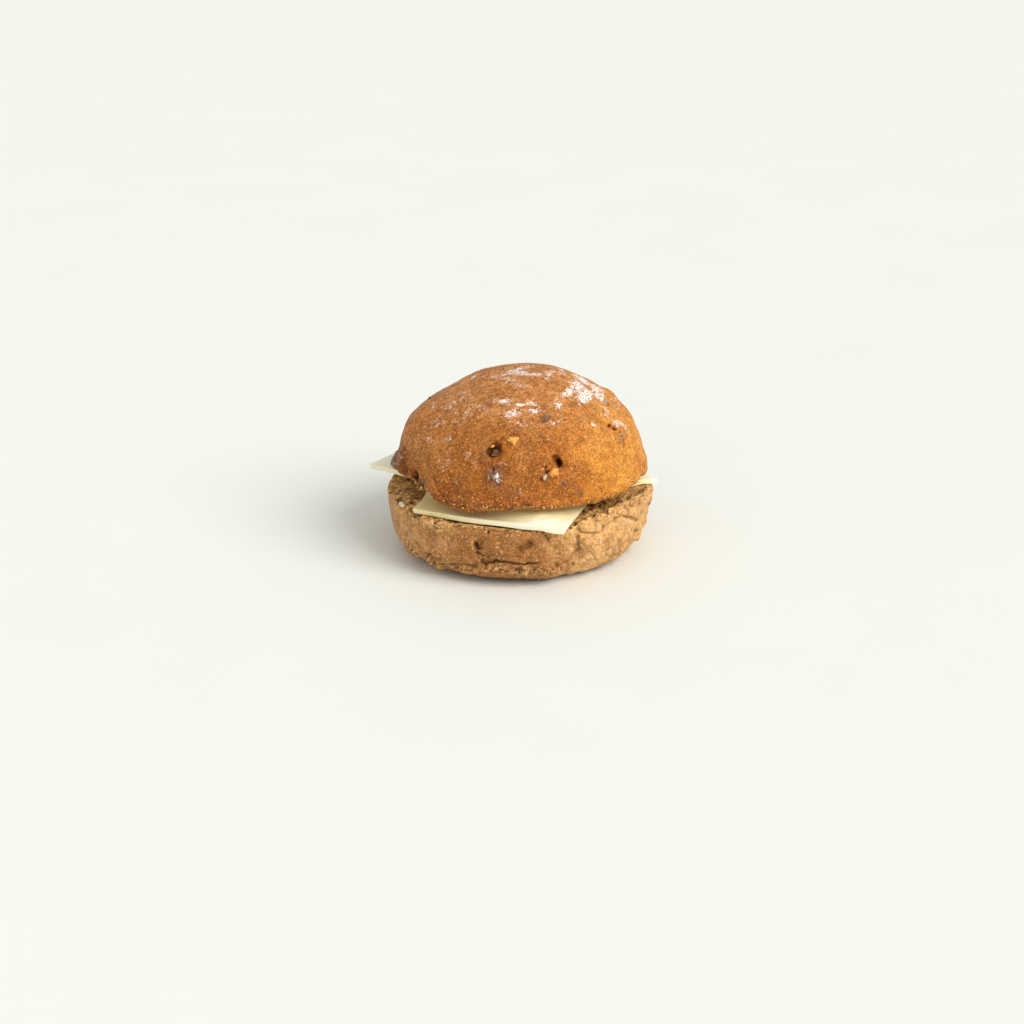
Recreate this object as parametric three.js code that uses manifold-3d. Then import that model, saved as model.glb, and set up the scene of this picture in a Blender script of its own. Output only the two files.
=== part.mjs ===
// Walnut roll cut across, with two slices of pale cheese between its halves.
// Millimetres, +Z up. It stands on the flat of its heel at z = 0 and -Y is the front.
import * as THREE from 'three';
import { ImprovedNoise } from 'three/addons/math/ImprovedNoise.js';
import { mergeVertices } from 'three/addons/utils/BufferGeometryUtils.js';
import Module from 'manifold-3d';

// Heel of the roll
const HEEL_FLAT_RADIUS = 33.0;
const HEEL_RIM_RADIUS = 46.6;
const HEEL_RIM_HEIGHT = 21.4;
const HEEL_CROWNING = 23.0;
const HEEL_RIM_CENTRE = [1.5, 2.0];
const HEEL_SIDE_BULGE = { azimuth: -88, width: 30, reach: 1.1, from: 0.4 };
const HEEL_PROFILE = [
  [HEEL_FLAT_RADIUS, 0],
  [36.9, 1.1],
  [39.8, 2.5],
  [42.3, 4.5],
  [44.4, 7.5],
  [45.6, 13.0],
  [HEEL_RIM_RADIUS, HEEL_RIM_HEIGHT],
];

// Crown of the roll
const CROWN_RADIUS = 44.8;
const CROWN_APEX_HEIGHT = 63.3;
const CROWN_RIM_HEIGHT = 28.0;
const CROWN_CUT_HEIGHT = 27.75;
const CROWN_CUT_HOLLOW = { depth: 0.9, at: 0.8, width: 0.16 };
const CROWN_EDGE_START = 0.84;
const CROWN_CENTRE = [1.1, 2.0];
const CROWN_APEX_SHIFT = [1.0, 0.0];
const CROWN_PROFILE = [
  [0, CROWN_APEX_HEIGHT],
  [9.0, 62.5],
  [17.6, 59.9],
  [25.2, 56.1],
  [31.4, 52.0],
  [36.4, 48.0],
  [39.7, 44.0],
  [41.8, 39.0],
  [43.3, 34.0],
  [CROWN_RADIUS, 30.0],
  [43.9, CROWN_RIM_HEIGHT],
];

// Where the cut rims rise or dip: azimuth from the front in degrees, width in degrees, rise
const HEEL_RIM_LIFTS = [
  [-75, 26, -2.6],
  [-14, 18, 1.3],
  [31, 8, 2.4],
  [52, 11, 4.6],
  [73, 11, 3.8],
  [100, 20, -1.6],
];
const CROWN_RIM_LIFTS = [
  [-28, 14, -2.2],
  [-68, 13, 1.3],
  [49, 9, -0.9],
  [67, 9, 0.7],
  [86, 12, -1.1],
];

// Cheese slices
const SLICE_THICKNESS = 1.8;
const LAYER_GAP = 0.32;
const FRONT_EXTRA_GAP = 0.08;
const REAR_CORNERS = [[-53.0, 14.5], [7.0, -35.0], [49.5, 4.0], [-16.0, 57.0]];
const REAR_MIDDLE_HEIGHT = 23.38;
const REAR_SAG = { left: 0.00035, right: 0.0012, along: 0.0002, past: 0.004 };
const FRONT_CORNERS = [[-35.9, -24.6], [15.2, -46.4], [37.6, 7.5], [-13.6, 28.8]];
const FRONT_BOW = 5.0;
const FRONT_BEND_LENGTH = 12.0;

// How a slice lies over the heel's rim: the lip's share of the radius, and the bend past it
const LIP_START = 0.9;
const BEND_INSIDE_RIM = 2.0;
const BEND_DROP = 0.015;
const CROWNING_POWER = 2.2;

// Crust relief: wavelength, depth and noise offset
const HEEL_LUMPS = [16, 0.5, 3.1];
const HEEL_WRINKLES = [9, 0.45, 8.4];
const HEEL_WRINKLE_FLATNESS = 2.6;
const CROWN_LUMPS = [24, 0.7, 5.2];
const CROWN_DIMPLES = [8, 0.25, 1.7];
const CRUMB = { size: 9, depth: 0.5, heelOffset: 4.4, crownOffset: 9.3 };
const RAGGED = { coarse: 5.5, fine: 3.1, amount: 0.9, upDown: 0.8 };
const HEEL_TEAR = { offset: 2.2, inset: 0.3 };
const CROWN_TEAR = { offset: 6.1, upDownOffset: 7.9, inset: 0.2 };
const HEEL_RELIEF_START = 0.17;

// Mesh fineness
const CRUST_SPACING = 2.25;
const CUT_SPACING = 4.4;
const FLAT_SPACING = 9.7;
const SLICE_CELL = 3.5;
const HEEL_WALL_STEPS = 13;
const HEEL_CUT_STEPS = 11;
const HEEL_FLAT_STEPS = 4;
const CROWN_DOME_STEPS = 28;
const CROWN_CUT_STEPS = 10;
const CUT_RING_POWER = 0.9;
const SKIN_STEP = 0.004;
const SLOPE_STEP = 0.5;
const HEIGHT_HALVINGS = 24;

// Marks on the crust: azimuth from the front in degrees, height, width and depth
const CROWN_PITS = [
  [-15, 46.4, 2.3, 2.3],
  [17, 43.2, 2.1, 2.3],
  [59, 48.9, 1.9, 1.9],
  [-60, 30.6, 4.2, 2.6],
  [-47, 28.4, 3.2, 2.2],
  [0, 28.2, 2.2, 1.0],
];
const CROWN_GROOVES = [
  [[[59, 48.0], [60, 41.4]], 1.5, 0.9],
  [[[76, 33.8], [72, 30.0]], 1.4, 0.8],
  [[[-52, 36.0], [-50, 29.0]], 1.8, 0.9],
];
const CROWN_SWELLINGS = [
  [-43, 32.5, 3.4, 1.2],
  [104, 52.0, 3.4, 1.7],
  [-86, 45.0, 8.0, 1.1],
];
const HEEL_PITS = [
  [-18, 16.2, 1.8, 2.2],
  [76, 22.8, 2.0, 2.0],
  [45, 22.0, 2.4, 1.6],
];
const HEEL_GROOVES = [
  [[[-63, 19.8], [-58, 15.2]], 1.5, 1.8],
  [[[-18, 15.4], [-15, 10.6]], 1.3, 0.9],
  [[[-34, 6.9], [-20, 9.4], [-14, 10.7]], 1.5, 1.4],
  [[[-12, 10.2], [-4, 10.4], [11, 10.7]], 1.5, 1.6],
  [[[-2, 14.3], [5, 18.4]], 1.6, 1.2],
  [[[12, 18.6], [15, 13.8]], 1.4, 1.1],
  [[[24, 17.4], [27, 9.0], [21, 3.4]], 1.6, 1.3],
  [[[27, 21.4], [29, 20.2], [36, 18.2], [38, 16.4]], 1.5, 1.3],
  [[[60, 21.8], [57, 19.2], [66, 14.7]], 1.5, 1.1],
  [[[-112, 14.0], [-92, 11.0]], 1.7, 1.1],
  [[[118, 9.0], [132, 14.0]], 1.7, 1.2],
  [[[168, 12.0], [190, 9.0]], 1.8, 1.1],
];
const HEEL_SWELLINGS = [
  [-40, 9.8, 2.8, 1.1],
  [-64, 4.4, 2.4, 1.1],
  [-42, 3.4, 2.4, 0.9],
  [58, 3.8, 2.6, 1.0],
  [74, 6.0, 2.4, 1.0],
  [46, 12.0, 6.0, 0.9],
];

// Walnut bits in the crust: azimuth, height, length, width, thickness, turn
const CROWN_NUTS = [
  [-16, 45.4, 3.2, 2.6, 2.4, 20],
  [-5, 49.7, 3.8, 2.8, 1.9, -20],
  [-12, 39.2, 4.6, 4.0, 1.6, 70],
  [14.5, 40.4, 3.8, 3.4, 2.2, 10],
  [11, 39.3, 3.0, 2.4, 1.7, 60],
  [17, 55.0, 5.4, 3.4, 1.8, -15],
  [55, 52.4, 2.4, 2.0, 1.4, 30],
  [82, 53.0, 3.2, 2.4, 1.9, 0],
  [19, 36.4, 2.6, 2.0, 1.3, 40],
  [26, 33.4, 2.8, 2.2, 1.4, -50],
  [-77, 33.6, 7.6, 4.4, 3.2, 80],
  [-86, 50.6, 3.0, 2.2, 1.8, 15],
];
const HEEL_NUTS = [
  [-66, 18.9, 3.6, 2.6, 2.0, 15],
  [82, 16.5, 2.8, 2.2, 1.5, 35],
];

const NUT_LOBE = 0.7;
const NUT_LUMPINESS = 0.45;
const NUT_OFFSETS = { first: 0.4, step: 1.7 };
const MERGE_DISTANCE = 0.001;

const perlin = new ImprovedNoise();
const FRONT_TURN = Math.PI / 2;
const solids = await Module();
solids.setup();

function radians(angle) {
  return THREE.MathUtils.degToRad(angle);
}

function smooth(value) {
  return THREE.MathUtils.smoothstep(value, 0, 1);
}

function bell(distance, width) {
  return Math.exp(-((distance / width) ** 2));
}

// Azimuth in degrees from the front, growing to the right.
function azimuthOf(x, y) {
  return THREE.MathUtils.radToDeg(Math.atan2(x, -y));
}

function azimuthBell(azimuth, centre, width) {
  const apart = ((azimuth - centre + 540) % 360) - 180;
  return bell(apart, width);
}

// Noise of a wavelength and depth at a point.
function grain(point, [wavelength, depth, offset]) {
  const p = point.clone().divideScalar(wavelength);
  return depth * perlin.noise(p.x + offset, p.y + offset * 0.7, p.z - offset);
}

function liftedRim(level, lifts, azimuth) {
  const rise = (total, [centre, width, lift]) => total + lift * azimuthBell(azimuth, centre, width);
  return lifts.reduce(rise, level);
}

// The cut slants: the heel's rim is low on the left and stands up at the front right.
function heelRimHeight(azimuth) {
  return liftedRim(HEEL_RIM_HEIGHT, HEEL_RIM_LIFTS, azimuth);
}

function crownRimHeight(azimuth) {
  return liftedRim(CROWN_RIM_HEIGHT, CROWN_RIM_LIFTS, azimuth);
}

// Distance of a point past the line where slices start to bend down over the heel's rim.
function pastBend(x, y) {
  const out = Math.hypot(x - HEEL_RIM_CENTRE[0], y - HEEL_RIM_CENTRE[1]);
  return Math.max(out - HEEL_RIM_RADIUS + BEND_INSIDE_RIM, 0);
}

// Surface the slices rest on: the heel's crowned cut, its raised rim, and a bend past it.
function restingHeight(x, y) {
  const dx = x - HEEL_RIM_CENTRE[0];
  const dy = y - HEEL_RIM_CENTRE[1];
  const rim = heelRimHeight(azimuthOf(dx, dy));
  const level = Math.min(rim, HEEL_RIM_HEIGHT);
  const share = Math.min(Math.hypot(dx, dy) / HEEL_RIM_RADIUS, 1);
  const crowned = HEEL_CROWNING + (level - HEEL_CROWNING) * share ** CROWNING_POWER;
  const lip = (rim - level) * smooth((share - LIP_START) / (1 - LIP_START));
  return crowned + lip - BEND_DROP * pastBend(x, y) ** 2;
}

// The higher of two heights, rounded where they cross.
function smoothMax(a, b, round) {
  const gap = Math.max(round - Math.abs(a - b), 0) / round;
  return Math.max(a, b) + (gap * gap * round) / 4;
}

// Stack of rings between two poles, stitched by angle, as one closed mesh.
function shellThroughRings(topPole, rings, bottomPole) {
  const points = [topPole];
  const faces = [];
  const starts = [];
  for (const ring of rings) {
    starts.push(points.length);
    points.push(...ring);
  }
  points.push(bottomPole);
  const last = points.length - 1;
  const first = rings[0];
  for (let i = 0; i < first.length; i += 1) {
    faces.push(0, starts[0] + i, starts[0] + ((i + 1) % first.length));
  }
  for (let k = 0; k + 1 < rings.length; k += 1) {
    stitch(faces, starts[k], rings[k].length, starts[k + 1], rings[k + 1].length);
  }
  const end = rings.length - 1;
  for (let i = 0; i < rings[end].length; i += 1) {
    faces.push(last, starts[end] + ((i + 1) % rings[end].length), starts[end] + i);
  }
  return geometryFrom(points, faces);
}

function stitch(faces, upperStart, upperCount, lowerStart, lowerCount) {
  let i = 0;
  let j = 0;
  while (i < upperCount || j < lowerCount) {
    const upper = upperStart + (i % upperCount);
    const lower = lowerStart + (j % lowerCount);
    const nextUpper = (i + 1) / upperCount;
    const nextLower = (j + 1) / lowerCount;
    if (j >= lowerCount || (i < upperCount && nextUpper <= nextLower)) {
      faces.push(upper, lower, upperStart + ((i + 1) % upperCount));
      i += 1;
    } else {
      faces.push(upper, lower, lowerStart + ((j + 1) % lowerCount));
      j += 1;
    }
  }
}

function geometryFrom(points, faces) {
  const geometry = new THREE.BufferGeometry();
  geometry.setFromPoints(points);
  geometry.setIndex(faces);
  return geometry;
}

function ringCount(radius, spacing) {
  return Math.max(6, Math.round((2 * Math.PI * radius) / spacing));
}

// Ring of surface points: place(angle, azimuth) gives each one.
function ringOf(count, place) {
  const ring = [];
  for (let i = 0; i < count; i += 1) {
    const angle = (i / count) * 2 * Math.PI - FRONT_TURN;
    ring.push(place(angle, THREE.MathUtils.radToDeg(angle + FRONT_TURN)));
  }
  return ring;
}

// Smooth profile curve through pairs of radius and height.
function profileThrough(pairs) {
  return new THREE.SplineCurve(pairs.map(([radius, height]) => new THREE.Vector2(radius, height)));
}

// Outer skin of the heel without its relief, from the flat (0) to the rim (1).
const heelProfile = profileThrough(HEEL_PROFILE);

function heelSkin(share, angle) {
  const at = heelProfile.getPointAt(share);
  const azimuth = THREE.MathUtils.radToDeg(angle + FRONT_TURN);
  const rise = at.y / HEEL_RIM_HEIGHT;
  const side = HEEL_SIDE_BULGE;
  const bulge = side.reach * azimuthBell(azimuth, side.azimuth, side.width);
  const radius = at.x + bulge * smooth((rise - side.from) / (1 - side.from));
  const x = HEEL_RIM_CENTRE[0] * rise + radius * Math.cos(angle);
  const y = HEEL_RIM_CENTRE[1] * rise + radius * Math.sin(angle);
  const z = at.y + (heelRimHeight(azimuth) - HEEL_RIM_HEIGHT) * smooth(rise);
  return new THREE.Vector3(x, y, z);
}

// Outer skin of the crown without its relief, from the apex (0) to the cut rim (1).
const crownProfile = profileThrough(CROWN_PROFILE);

function crownSkin(share, angle) {
  const at = crownProfile.getPointAt(share);
  const azimuth = THREE.MathUtils.radToDeg(angle + FRONT_TURN);
  const rise = (at.y - CROWN_RIM_HEIGHT) / (CROWN_APEX_HEIGHT - CROWN_RIM_HEIGHT);
  const x = CROWN_CENTRE[0] + CROWN_APEX_SHIFT[0] * rise + at.x * Math.cos(angle);
  const y = CROWN_CENTRE[1] + CROWN_APEX_SHIFT[1] * rise + at.x * Math.sin(angle);
  const lift = (crownRimHeight(azimuth) - CROWN_RIM_HEIGHT) * smooth(1 - rise * 4);
  return new THREE.Vector3(x, y, at.y + lift);
}

// Outward direction of a skin, from the points next to the given one.
function outward(skin, share, angle) {
  const low = Math.max(share - SKIN_STEP, SKIN_STEP / 2);
  const high = Math.min(share + SKIN_STEP, 1);
  const along = skin(high, angle).sub(skin(low, angle));
  const round = skin(share, angle + SKIN_STEP).sub(skin(share, angle - SKIN_STEP));
  return new THREE.Vector3().crossVectors(along, round).normalize();
}

// Share along a skin's profile at which it reaches a height.
function shareAtHeight(profile, height) {
  let low = 0;
  let high = 1;
  const rising = profile.getPointAt(1).y > profile.getPointAt(0).y;
  for (let i = 0; i < HEIGHT_HALVINGS; i += 1) {
    const middle = (low + high) / 2;
    const above = profile.getPointAt(middle).y > height;
    if (above === rising) {
      high = middle;
    } else {
      low = middle;
    }
  }
  return (low + high) / 2;
}

function placeOn(skin, profile, azimuth, height) {
  return skin(shareAtHeight(profile, height), radians(azimuth) - FRONT_TURN);
}

// Relief of one crust: pits and grooves go in, swellings come out.
function reliefOf(skin, profile, pits, grooves, swellings) {
  const spot = ([azimuth, height, width, depth]) => ({
    at: placeOn(skin, profile, azimuth, height),
    width,
    depth,
  });
  const hollows = pits.map(spot);
  const bumps = swellings.map(spot);
  const folds = grooves.map(([path, width, depth]) => ({
    path: path.map(([azimuth, height]) => placeOn(skin, profile, azimuth, height)),
    width,
    depth,
  }));
  return (point) => {
    let height = 0;
    for (const { at, width, depth } of hollows) {
      height -= depth * bell(point.distanceTo(at), width);
    }
    for (const { at, width, depth } of bumps) {
      height += depth * bell(point.distanceTo(at), width);
    }
    for (const { path, width, depth } of folds) {
      height -= depth * bell(distanceToPath(point, path), width);
    }
    return height;
  };
}

function distanceToPath(point, path) {
  let nearest = Infinity;
  const closest = new THREE.Vector3();
  for (let i = 0; i + 1 < path.length; i += 1) {
    new THREE.Line3(path[i], path[i + 1]).closestPointToPoint(point, true, closest);
    nearest = Math.min(nearest, closest.distanceTo(point));
  }
  return nearest;
}

const heelMarks = reliefOf(heelSkin, heelProfile, HEEL_PITS, HEEL_GROOVES, HEEL_SWELLINGS);
const crownMarks = reliefOf(crownSkin, crownProfile, CROWN_PITS, CROWN_GROOVES, CROWN_SWELLINGS);

// Wrinkled wall of the heel: long level wrinkles over broader lumps.
function heelRelief(point) {
  const level = new THREE.Vector3(point.x, point.y, point.z * HEEL_WRINKLE_FLATNESS);
  return grain(point, HEEL_LUMPS) + grain(level, HEEL_WRINKLES) + heelMarks(point);
}

function crownRelief(point) {
  return grain(point, CROWN_LUMPS) + grain(point, CROWN_DIMPLES) + crownMarks(point);
}

// Uneven cut rims: a little in and out, and up and down, round the roll.
function raggedRim(point, offset, amount) {
  const torn = grain(point, [RAGGED.coarse, 0.6, offset]);
  const jagged = grain(point, [RAGGED.fine, 0.4, offset + 11]);
  return amount * (torn + jagged);
}

// Crumb roughness eats into the cut faces only, so the layers stay clear of each other.
function crumbDepth(x, y, offset) {
  return Math.abs(grain(new THREE.Vector3(x, y, 0), [CRUMB.size, CRUMB.depth, offset]));
}

function makeHeelGeometry() {
  const rings = [];
  for (let k = 1; k < HEEL_CUT_STEPS; k += 1) {
    const share = (k / HEEL_CUT_STEPS) ** CUT_RING_POWER;
    const count = ringCount(HEEL_RIM_RADIUS * share, CUT_SPACING);
    rings.push(ringOf(count, (angle) => {
      const rim = heelSkin(1, angle);
      const x = HEEL_RIM_CENTRE[0] + (rim.x - HEEL_RIM_CENTRE[0]) * share;
      const y = HEEL_RIM_CENTRE[1] + (rim.y - HEEL_RIM_CENTRE[1]) * share;
      return new THREE.Vector3(x, y, restingHeight(x, y) - crumbDepth(x, y, CRUMB.heelOffset));
    }));
  }
  for (let k = HEEL_WALL_STEPS; k >= 0; k -= 1) {
    const share = k / HEEL_WALL_STEPS;
    const radius = heelProfile.getPointAt(share).x;
    rings.push(ringOf(ringCount(radius, CRUST_SPACING), (angle) => {
      const point = heelSkin(share, angle);
      const direction = outward((s, a) => heelSkin(1 - s, a), 1 - share, angle);
      point.addScaledVector(direction, heelRelief(point) * smooth(share / HEEL_RELIEF_START));
      if (k === 0) {
        point.z = 0;
      }
      if (k === HEEL_WALL_STEPS) {
        const torn = raggedRim(point, HEEL_TEAR.offset, RAGGED.amount) - HEEL_TEAR.inset;
        point.addScaledVector(direction, torn);
      }
      return point;
    }));
  }
  for (let k = HEEL_FLAT_STEPS - 1; k > 0; k -= 1) {
    const radius = (HEEL_FLAT_RADIUS * k) / HEEL_FLAT_STEPS;
    rings.push(ringOf(ringCount(radius, FLAT_SPACING), (angle) => (
      new THREE.Vector3(radius * Math.cos(angle), radius * Math.sin(angle), 0)
    )));
  }
  const top = new THREE.Vector3(HEEL_RIM_CENTRE[0], HEEL_RIM_CENTRE[1], HEEL_CROWNING);
  return shellThroughRings(top, rings, new THREE.Vector3(0, 0, 0));
}

function makeCrownGeometry() {
  const rings = [];
  for (let k = 1; k <= CROWN_DOME_STEPS; k += 1) {
    const share = k / CROWN_DOME_STEPS;
    const radius = crownProfile.getPointAt(share).x;
    rings.push(ringOf(ringCount(radius, CRUST_SPACING), (angle) => {
      const point = crownSkin(share, angle);
      const direction = outward(crownSkin, share, angle);
      point.addScaledVector(direction, crownRelief(point));
      if (k === CROWN_DOME_STEPS) {
        const torn = raggedRim(point, CROWN_TEAR.offset, RAGGED.amount) - CROWN_TEAR.inset;
        point.addScaledVector(direction, torn);
        point.z += raggedRim(point, CROWN_TEAR.upDownOffset, RAGGED.upDown);
      }
      return point;
    }));
  }
  for (let k = CROWN_CUT_STEPS - 1; k > 0; k -= 1) {
    const share = (k / CROWN_CUT_STEPS) ** CUT_RING_POWER;
    rings.push(ringOf(ringCount(CROWN_RADIUS * share, CUT_SPACING), (angle, azimuth) => {
      const rim = crownSkin(1, angle);
      const x = CROWN_CENTRE[0] + (rim.x - CROWN_CENTRE[0]) * share;
      const y = CROWN_CENTRE[1] + (rim.y - CROWN_CENTRE[1]) * share;
      const { depth, at, width } = CROWN_CUT_HOLLOW;
      const hollow = depth * bell(share - at, width);
      const nearRim = smooth((share - CROWN_EDGE_START) / (1 - CROWN_EDGE_START));
      const edge = (crownRimHeight(azimuth) - CROWN_CUT_HEIGHT) * nearRim;
      const crumb = crumbDepth(x, y, CRUMB.crownOffset);
      return new THREE.Vector3(x, y, CROWN_CUT_HEIGHT + hollow + edge + crumb);
    }));
  }
  const apex = crownSkin(0, 0);
  const middle = new THREE.Vector3(CROWN_CENTRE[0], CROWN_CENTRE[1], CROWN_CUT_HEIGHT);
  return shellThroughRings(apex, rings, middle);
}

// Height of the underside of the rear slice: nearly level, sagging towards the right.
function rearUnderside(x, y) {
  const across = x < 0 ? REAR_SAG.left : REAR_SAG.right;
  const sag = across * x ** 2 + REAR_SAG.along * y ** 2 + REAR_SAG.past * pastBend(x, y) ** 2;
  return smoothMax(REAR_MIDDLE_HEIGHT - sag, restingHeight(x, y) + LAYER_GAP, LAYER_GAP);
}

// How far a point lies to the left of the line from one corner to another.
function leftOfEdge(start, end, x, y) {
  const length = Math.hypot(end[0] - start[0], end[1] - start[1]);
  const across = (end[0] - start[0]) * (y - start[1]) - (end[1] - start[1]) * (x - start[0]);
  return across / length;
}

// How far a point lies inside the two front edges of the rear slice.
function insideRearSlice(x, y) {
  const [left, front, right] = REAR_CORNERS;
  return Math.min(leftOfEdge(left, front, x, y), leftOfEdge(front, right, x, y));
}

// The front slice rides on the rear one, then bends down onto the heel.
function frontUnderside(x, y) {
  const above = rearUnderside(x, y) + SLICE_THICKNESS + LAYER_GAP;
  const below = restingHeight(x, y) + LAYER_GAP + FRONT_EXTRA_GAP;
  const ride = smooth((insideRearSlice(x, y) + FRONT_BEND_LENGTH) / FRONT_BEND_LENGTH);
  return below + (above - below) * ride;
}

function between(start, end, share) {
  return [start[0] + (end[0] - start[0]) * share, start[1] + (end[1] - start[1]) * share];
}

// A bent sheet of even thickness over four corners, its first edge bowed outward.
function makeSliceGeometry(corners, bow, underside) {
  const [first, second, third, fourth] = corners;
  const length = Math.hypot(second[0] - first[0], second[1] - first[1]);
  const width = Math.hypot(fourth[0] - first[0], fourth[1] - first[1]);
  const columns = Math.round(length / SLICE_CELL);
  const rows = Math.round(width / SLICE_CELL);
  const below = [];
  const above = [];
  for (let j = 0; j <= rows; j += 1) {
    for (let i = 0; i <= columns; i += 1) {
      const u = i / columns;
      const v = j / rows - (bow / width) * 4 * u * (1 - u) * (1 - j / rows);
      const [x, y] = between(between(first, second, u), between(fourth, third, u), v);
      const riseX = underside(x + SLOPE_STEP, y) - underside(x - SLOPE_STEP, y);
      const riseY = underside(x, y + SLOPE_STEP) - underside(x, y - SLOPE_STEP);
      const normal = new THREE.Vector3(-riseX, -riseY, 2 * SLOPE_STEP).normalize();
      const foot = new THREE.Vector3(x, y, underside(x, y));
      below.push(foot);
      above.push(foot.clone().addScaledVector(normal, SLICE_THICKNESS));
    }
  }
  const points = [...below, ...above];
  const lift = below.length;
  const faces = [];
  const at = (i, j) => j * (columns + 1) + i;
  for (let j = 0; j < rows; j += 1) {
    for (let i = 0; i < columns; i += 1) {
      const a = at(i, j);
      const b = at(i + 1, j);
      const c = at(i + 1, j + 1);
      const d = at(i, j + 1);
      faces.push(a + lift, b + lift, c + lift, a + lift, c + lift, d + lift);
      faces.push(a, c, b, a, d, c);
    }
  }
  for (const [a, b] of sliceBorder(columns, rows, at)) {
    faces.push(a, b, b + lift, a, b + lift, a + lift);
  }
  return geometryFrom(points, faces);
}

// Neighbouring border vertices of a slice, anticlockwise.
function sliceBorder(columns, rows, at) {
  const loop = [];
  for (let i = 0; i < columns; i += 1) {
    loop.push(at(i, 0));
  }
  for (let j = 0; j < rows; j += 1) {
    loop.push(at(columns, j));
  }
  for (let i = columns; i > 0; i -= 1) {
    loop.push(at(i, rows));
  }
  for (let j = rows; j > 0; j -= 1) {
    loop.push(at(0, j));
  }
  return loop.map((vertex, k) => [vertex, loop[(k + 1) % loop.length]]);
}

function asSolid(geometry) {
  const { Manifold, Mesh } = solids;
  const vertProperties = Float32Array.from(geometry.attributes.position.array);
  const triVerts = Uint32Array.from(geometry.index.array);
  return new Manifold(new Mesh({ numProp: 3, vertProperties, triVerts }));
}

function asGeometry(solid) {
  const mesh = solid.getMesh();
  const geometry = new THREE.BufferGeometry();
  geometry.setAttribute('position', new THREE.BufferAttribute(mesh.vertProperties, 3));
  geometry.setIndex(new THREE.BufferAttribute(mesh.triVerts, 1));
  return geometry;
}

// A broken bit of nut: a lumpy twenty-sided stone.
function nutGeometry(length, width, thickness, offset) {
  const stone = new THREE.IcosahedronGeometry(1, 0);
  stone.deleteAttribute('uv');
  stone.deleteAttribute('normal');
  const geometry = mergeVertices(stone, MERGE_DISTANCE);
  const place = geometry.attributes.position;
  const corner = new THREE.Vector3();
  for (let i = 0; i < place.count; i += 1) {
    corner.fromBufferAttribute(place, i);
    corner.multiplyScalar(1 + grain(corner, [NUT_LOBE, NUT_LUMPINESS, offset]));
    place.setXYZ(i, corner.x, corner.y, corner.z);
  }
  geometry.scale(length / 2, width / 2, thickness / 2);
  return geometry;
}

// Bits of nut sunk to about half in a skin and fused with its solid.
function withNuts(geometry, nuts, skin, profile, relief) {
  let solid = asSolid(geometry);
  nuts.forEach(([azimuth, height, length, width, thickness, turn], i) => {
    const share = shareAtHeight(profile, height);
    const angle = radians(azimuth) - FRONT_TURN;
    const normal = outward(skin, share, angle);
    const level = new THREE.Vector3(0, 0, 1).cross(normal).normalize();
    const steep = new THREE.Vector3().crossVectors(normal, level);
    const offset = NUT_OFFSETS.first + i * NUT_OFFSETS.step;
    const nut = nutGeometry(length, width, thickness, offset);
    nut.rotateZ(radians(turn));
    const frame = new THREE.Matrix4().makeBasis(level, steep, normal);
    const seat = skin(share, angle);
    seat.addScaledVector(normal, relief(seat));
    frame.setPosition(seat);
    nut.applyMatrix4(frame);
    solid = solid.add(asSolid(nut));
  });
  return asGeometry(solid);
}

function crustMaterial() {
  return new THREE.MeshStandardMaterial({ color: 0xa9662f, roughness: 0.78, metalness: 0 });
}

function heelMaterial() {
  return new THREE.MeshStandardMaterial({ color: 0xb98450, roughness: 0.85, metalness: 0 });
}

function cheeseMaterial() {
  return new THREE.MeshStandardMaterial({ color: 0xf1e7bd, roughness: 0.5, metalness: 0 });
}

function part(name, geometry, material) {
  const mesh = new THREE.Mesh(geometry, material);
  mesh.name = name;
  return mesh;
}

const roll = new THREE.Group();
roll.name = 'cheese_bread_roll';
const heel = withNuts(makeHeelGeometry(), HEEL_NUTS, heelSkin, heelProfile, heelRelief);
const crown = withNuts(makeCrownGeometry(), CROWN_NUTS, crownSkin, crownProfile, crownRelief);
roll.add(part('roll_heel', heel, heelMaterial()));
roll.add(part(
  'cheese_rear',
  makeSliceGeometry(REAR_CORNERS, 0, rearUnderside),
  cheeseMaterial(),
));
roll.add(part(
  'cheese_front',
  makeSliceGeometry(FRONT_CORNERS, FRONT_BOW, frontUnderside),
  cheeseMaterial(),
));
roll.add(part('roll_crown', crown, crustMaterial()));

export default roll;
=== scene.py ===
"""Dresses the walnut roll and its cheese slices: crust, crumb, nuts, flour and floor.

Lengths are in millimetres, and meshes are written in metres.
"""

import math

import bmesh
import bpy
import numpy as np
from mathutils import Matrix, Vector


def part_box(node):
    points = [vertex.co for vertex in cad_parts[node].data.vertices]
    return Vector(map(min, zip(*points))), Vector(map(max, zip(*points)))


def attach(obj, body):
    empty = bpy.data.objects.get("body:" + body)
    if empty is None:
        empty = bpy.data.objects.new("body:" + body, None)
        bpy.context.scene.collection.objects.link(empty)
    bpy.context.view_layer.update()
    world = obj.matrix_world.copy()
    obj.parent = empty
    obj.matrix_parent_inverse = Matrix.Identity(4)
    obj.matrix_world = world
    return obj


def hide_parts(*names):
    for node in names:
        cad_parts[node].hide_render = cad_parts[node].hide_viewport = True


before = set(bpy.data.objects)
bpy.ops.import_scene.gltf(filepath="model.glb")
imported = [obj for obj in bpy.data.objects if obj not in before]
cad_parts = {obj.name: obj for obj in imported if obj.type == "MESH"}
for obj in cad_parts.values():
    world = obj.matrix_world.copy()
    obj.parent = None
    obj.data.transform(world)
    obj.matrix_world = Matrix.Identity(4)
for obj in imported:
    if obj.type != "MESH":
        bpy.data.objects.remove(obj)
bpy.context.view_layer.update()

MM = 0.001

# Camera of the photograph, in metres and degrees
CAMERA_TARGET = (-0.002, 0.0, 0.011)
CAMERA_ELEVATION = 22.0
CAMERA_DISTANCE = 0.857
CAMERA_LENS = 85.0
CAMERA_NEAR = 0.01
SENSOR_WIDTH = 36.0

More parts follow.
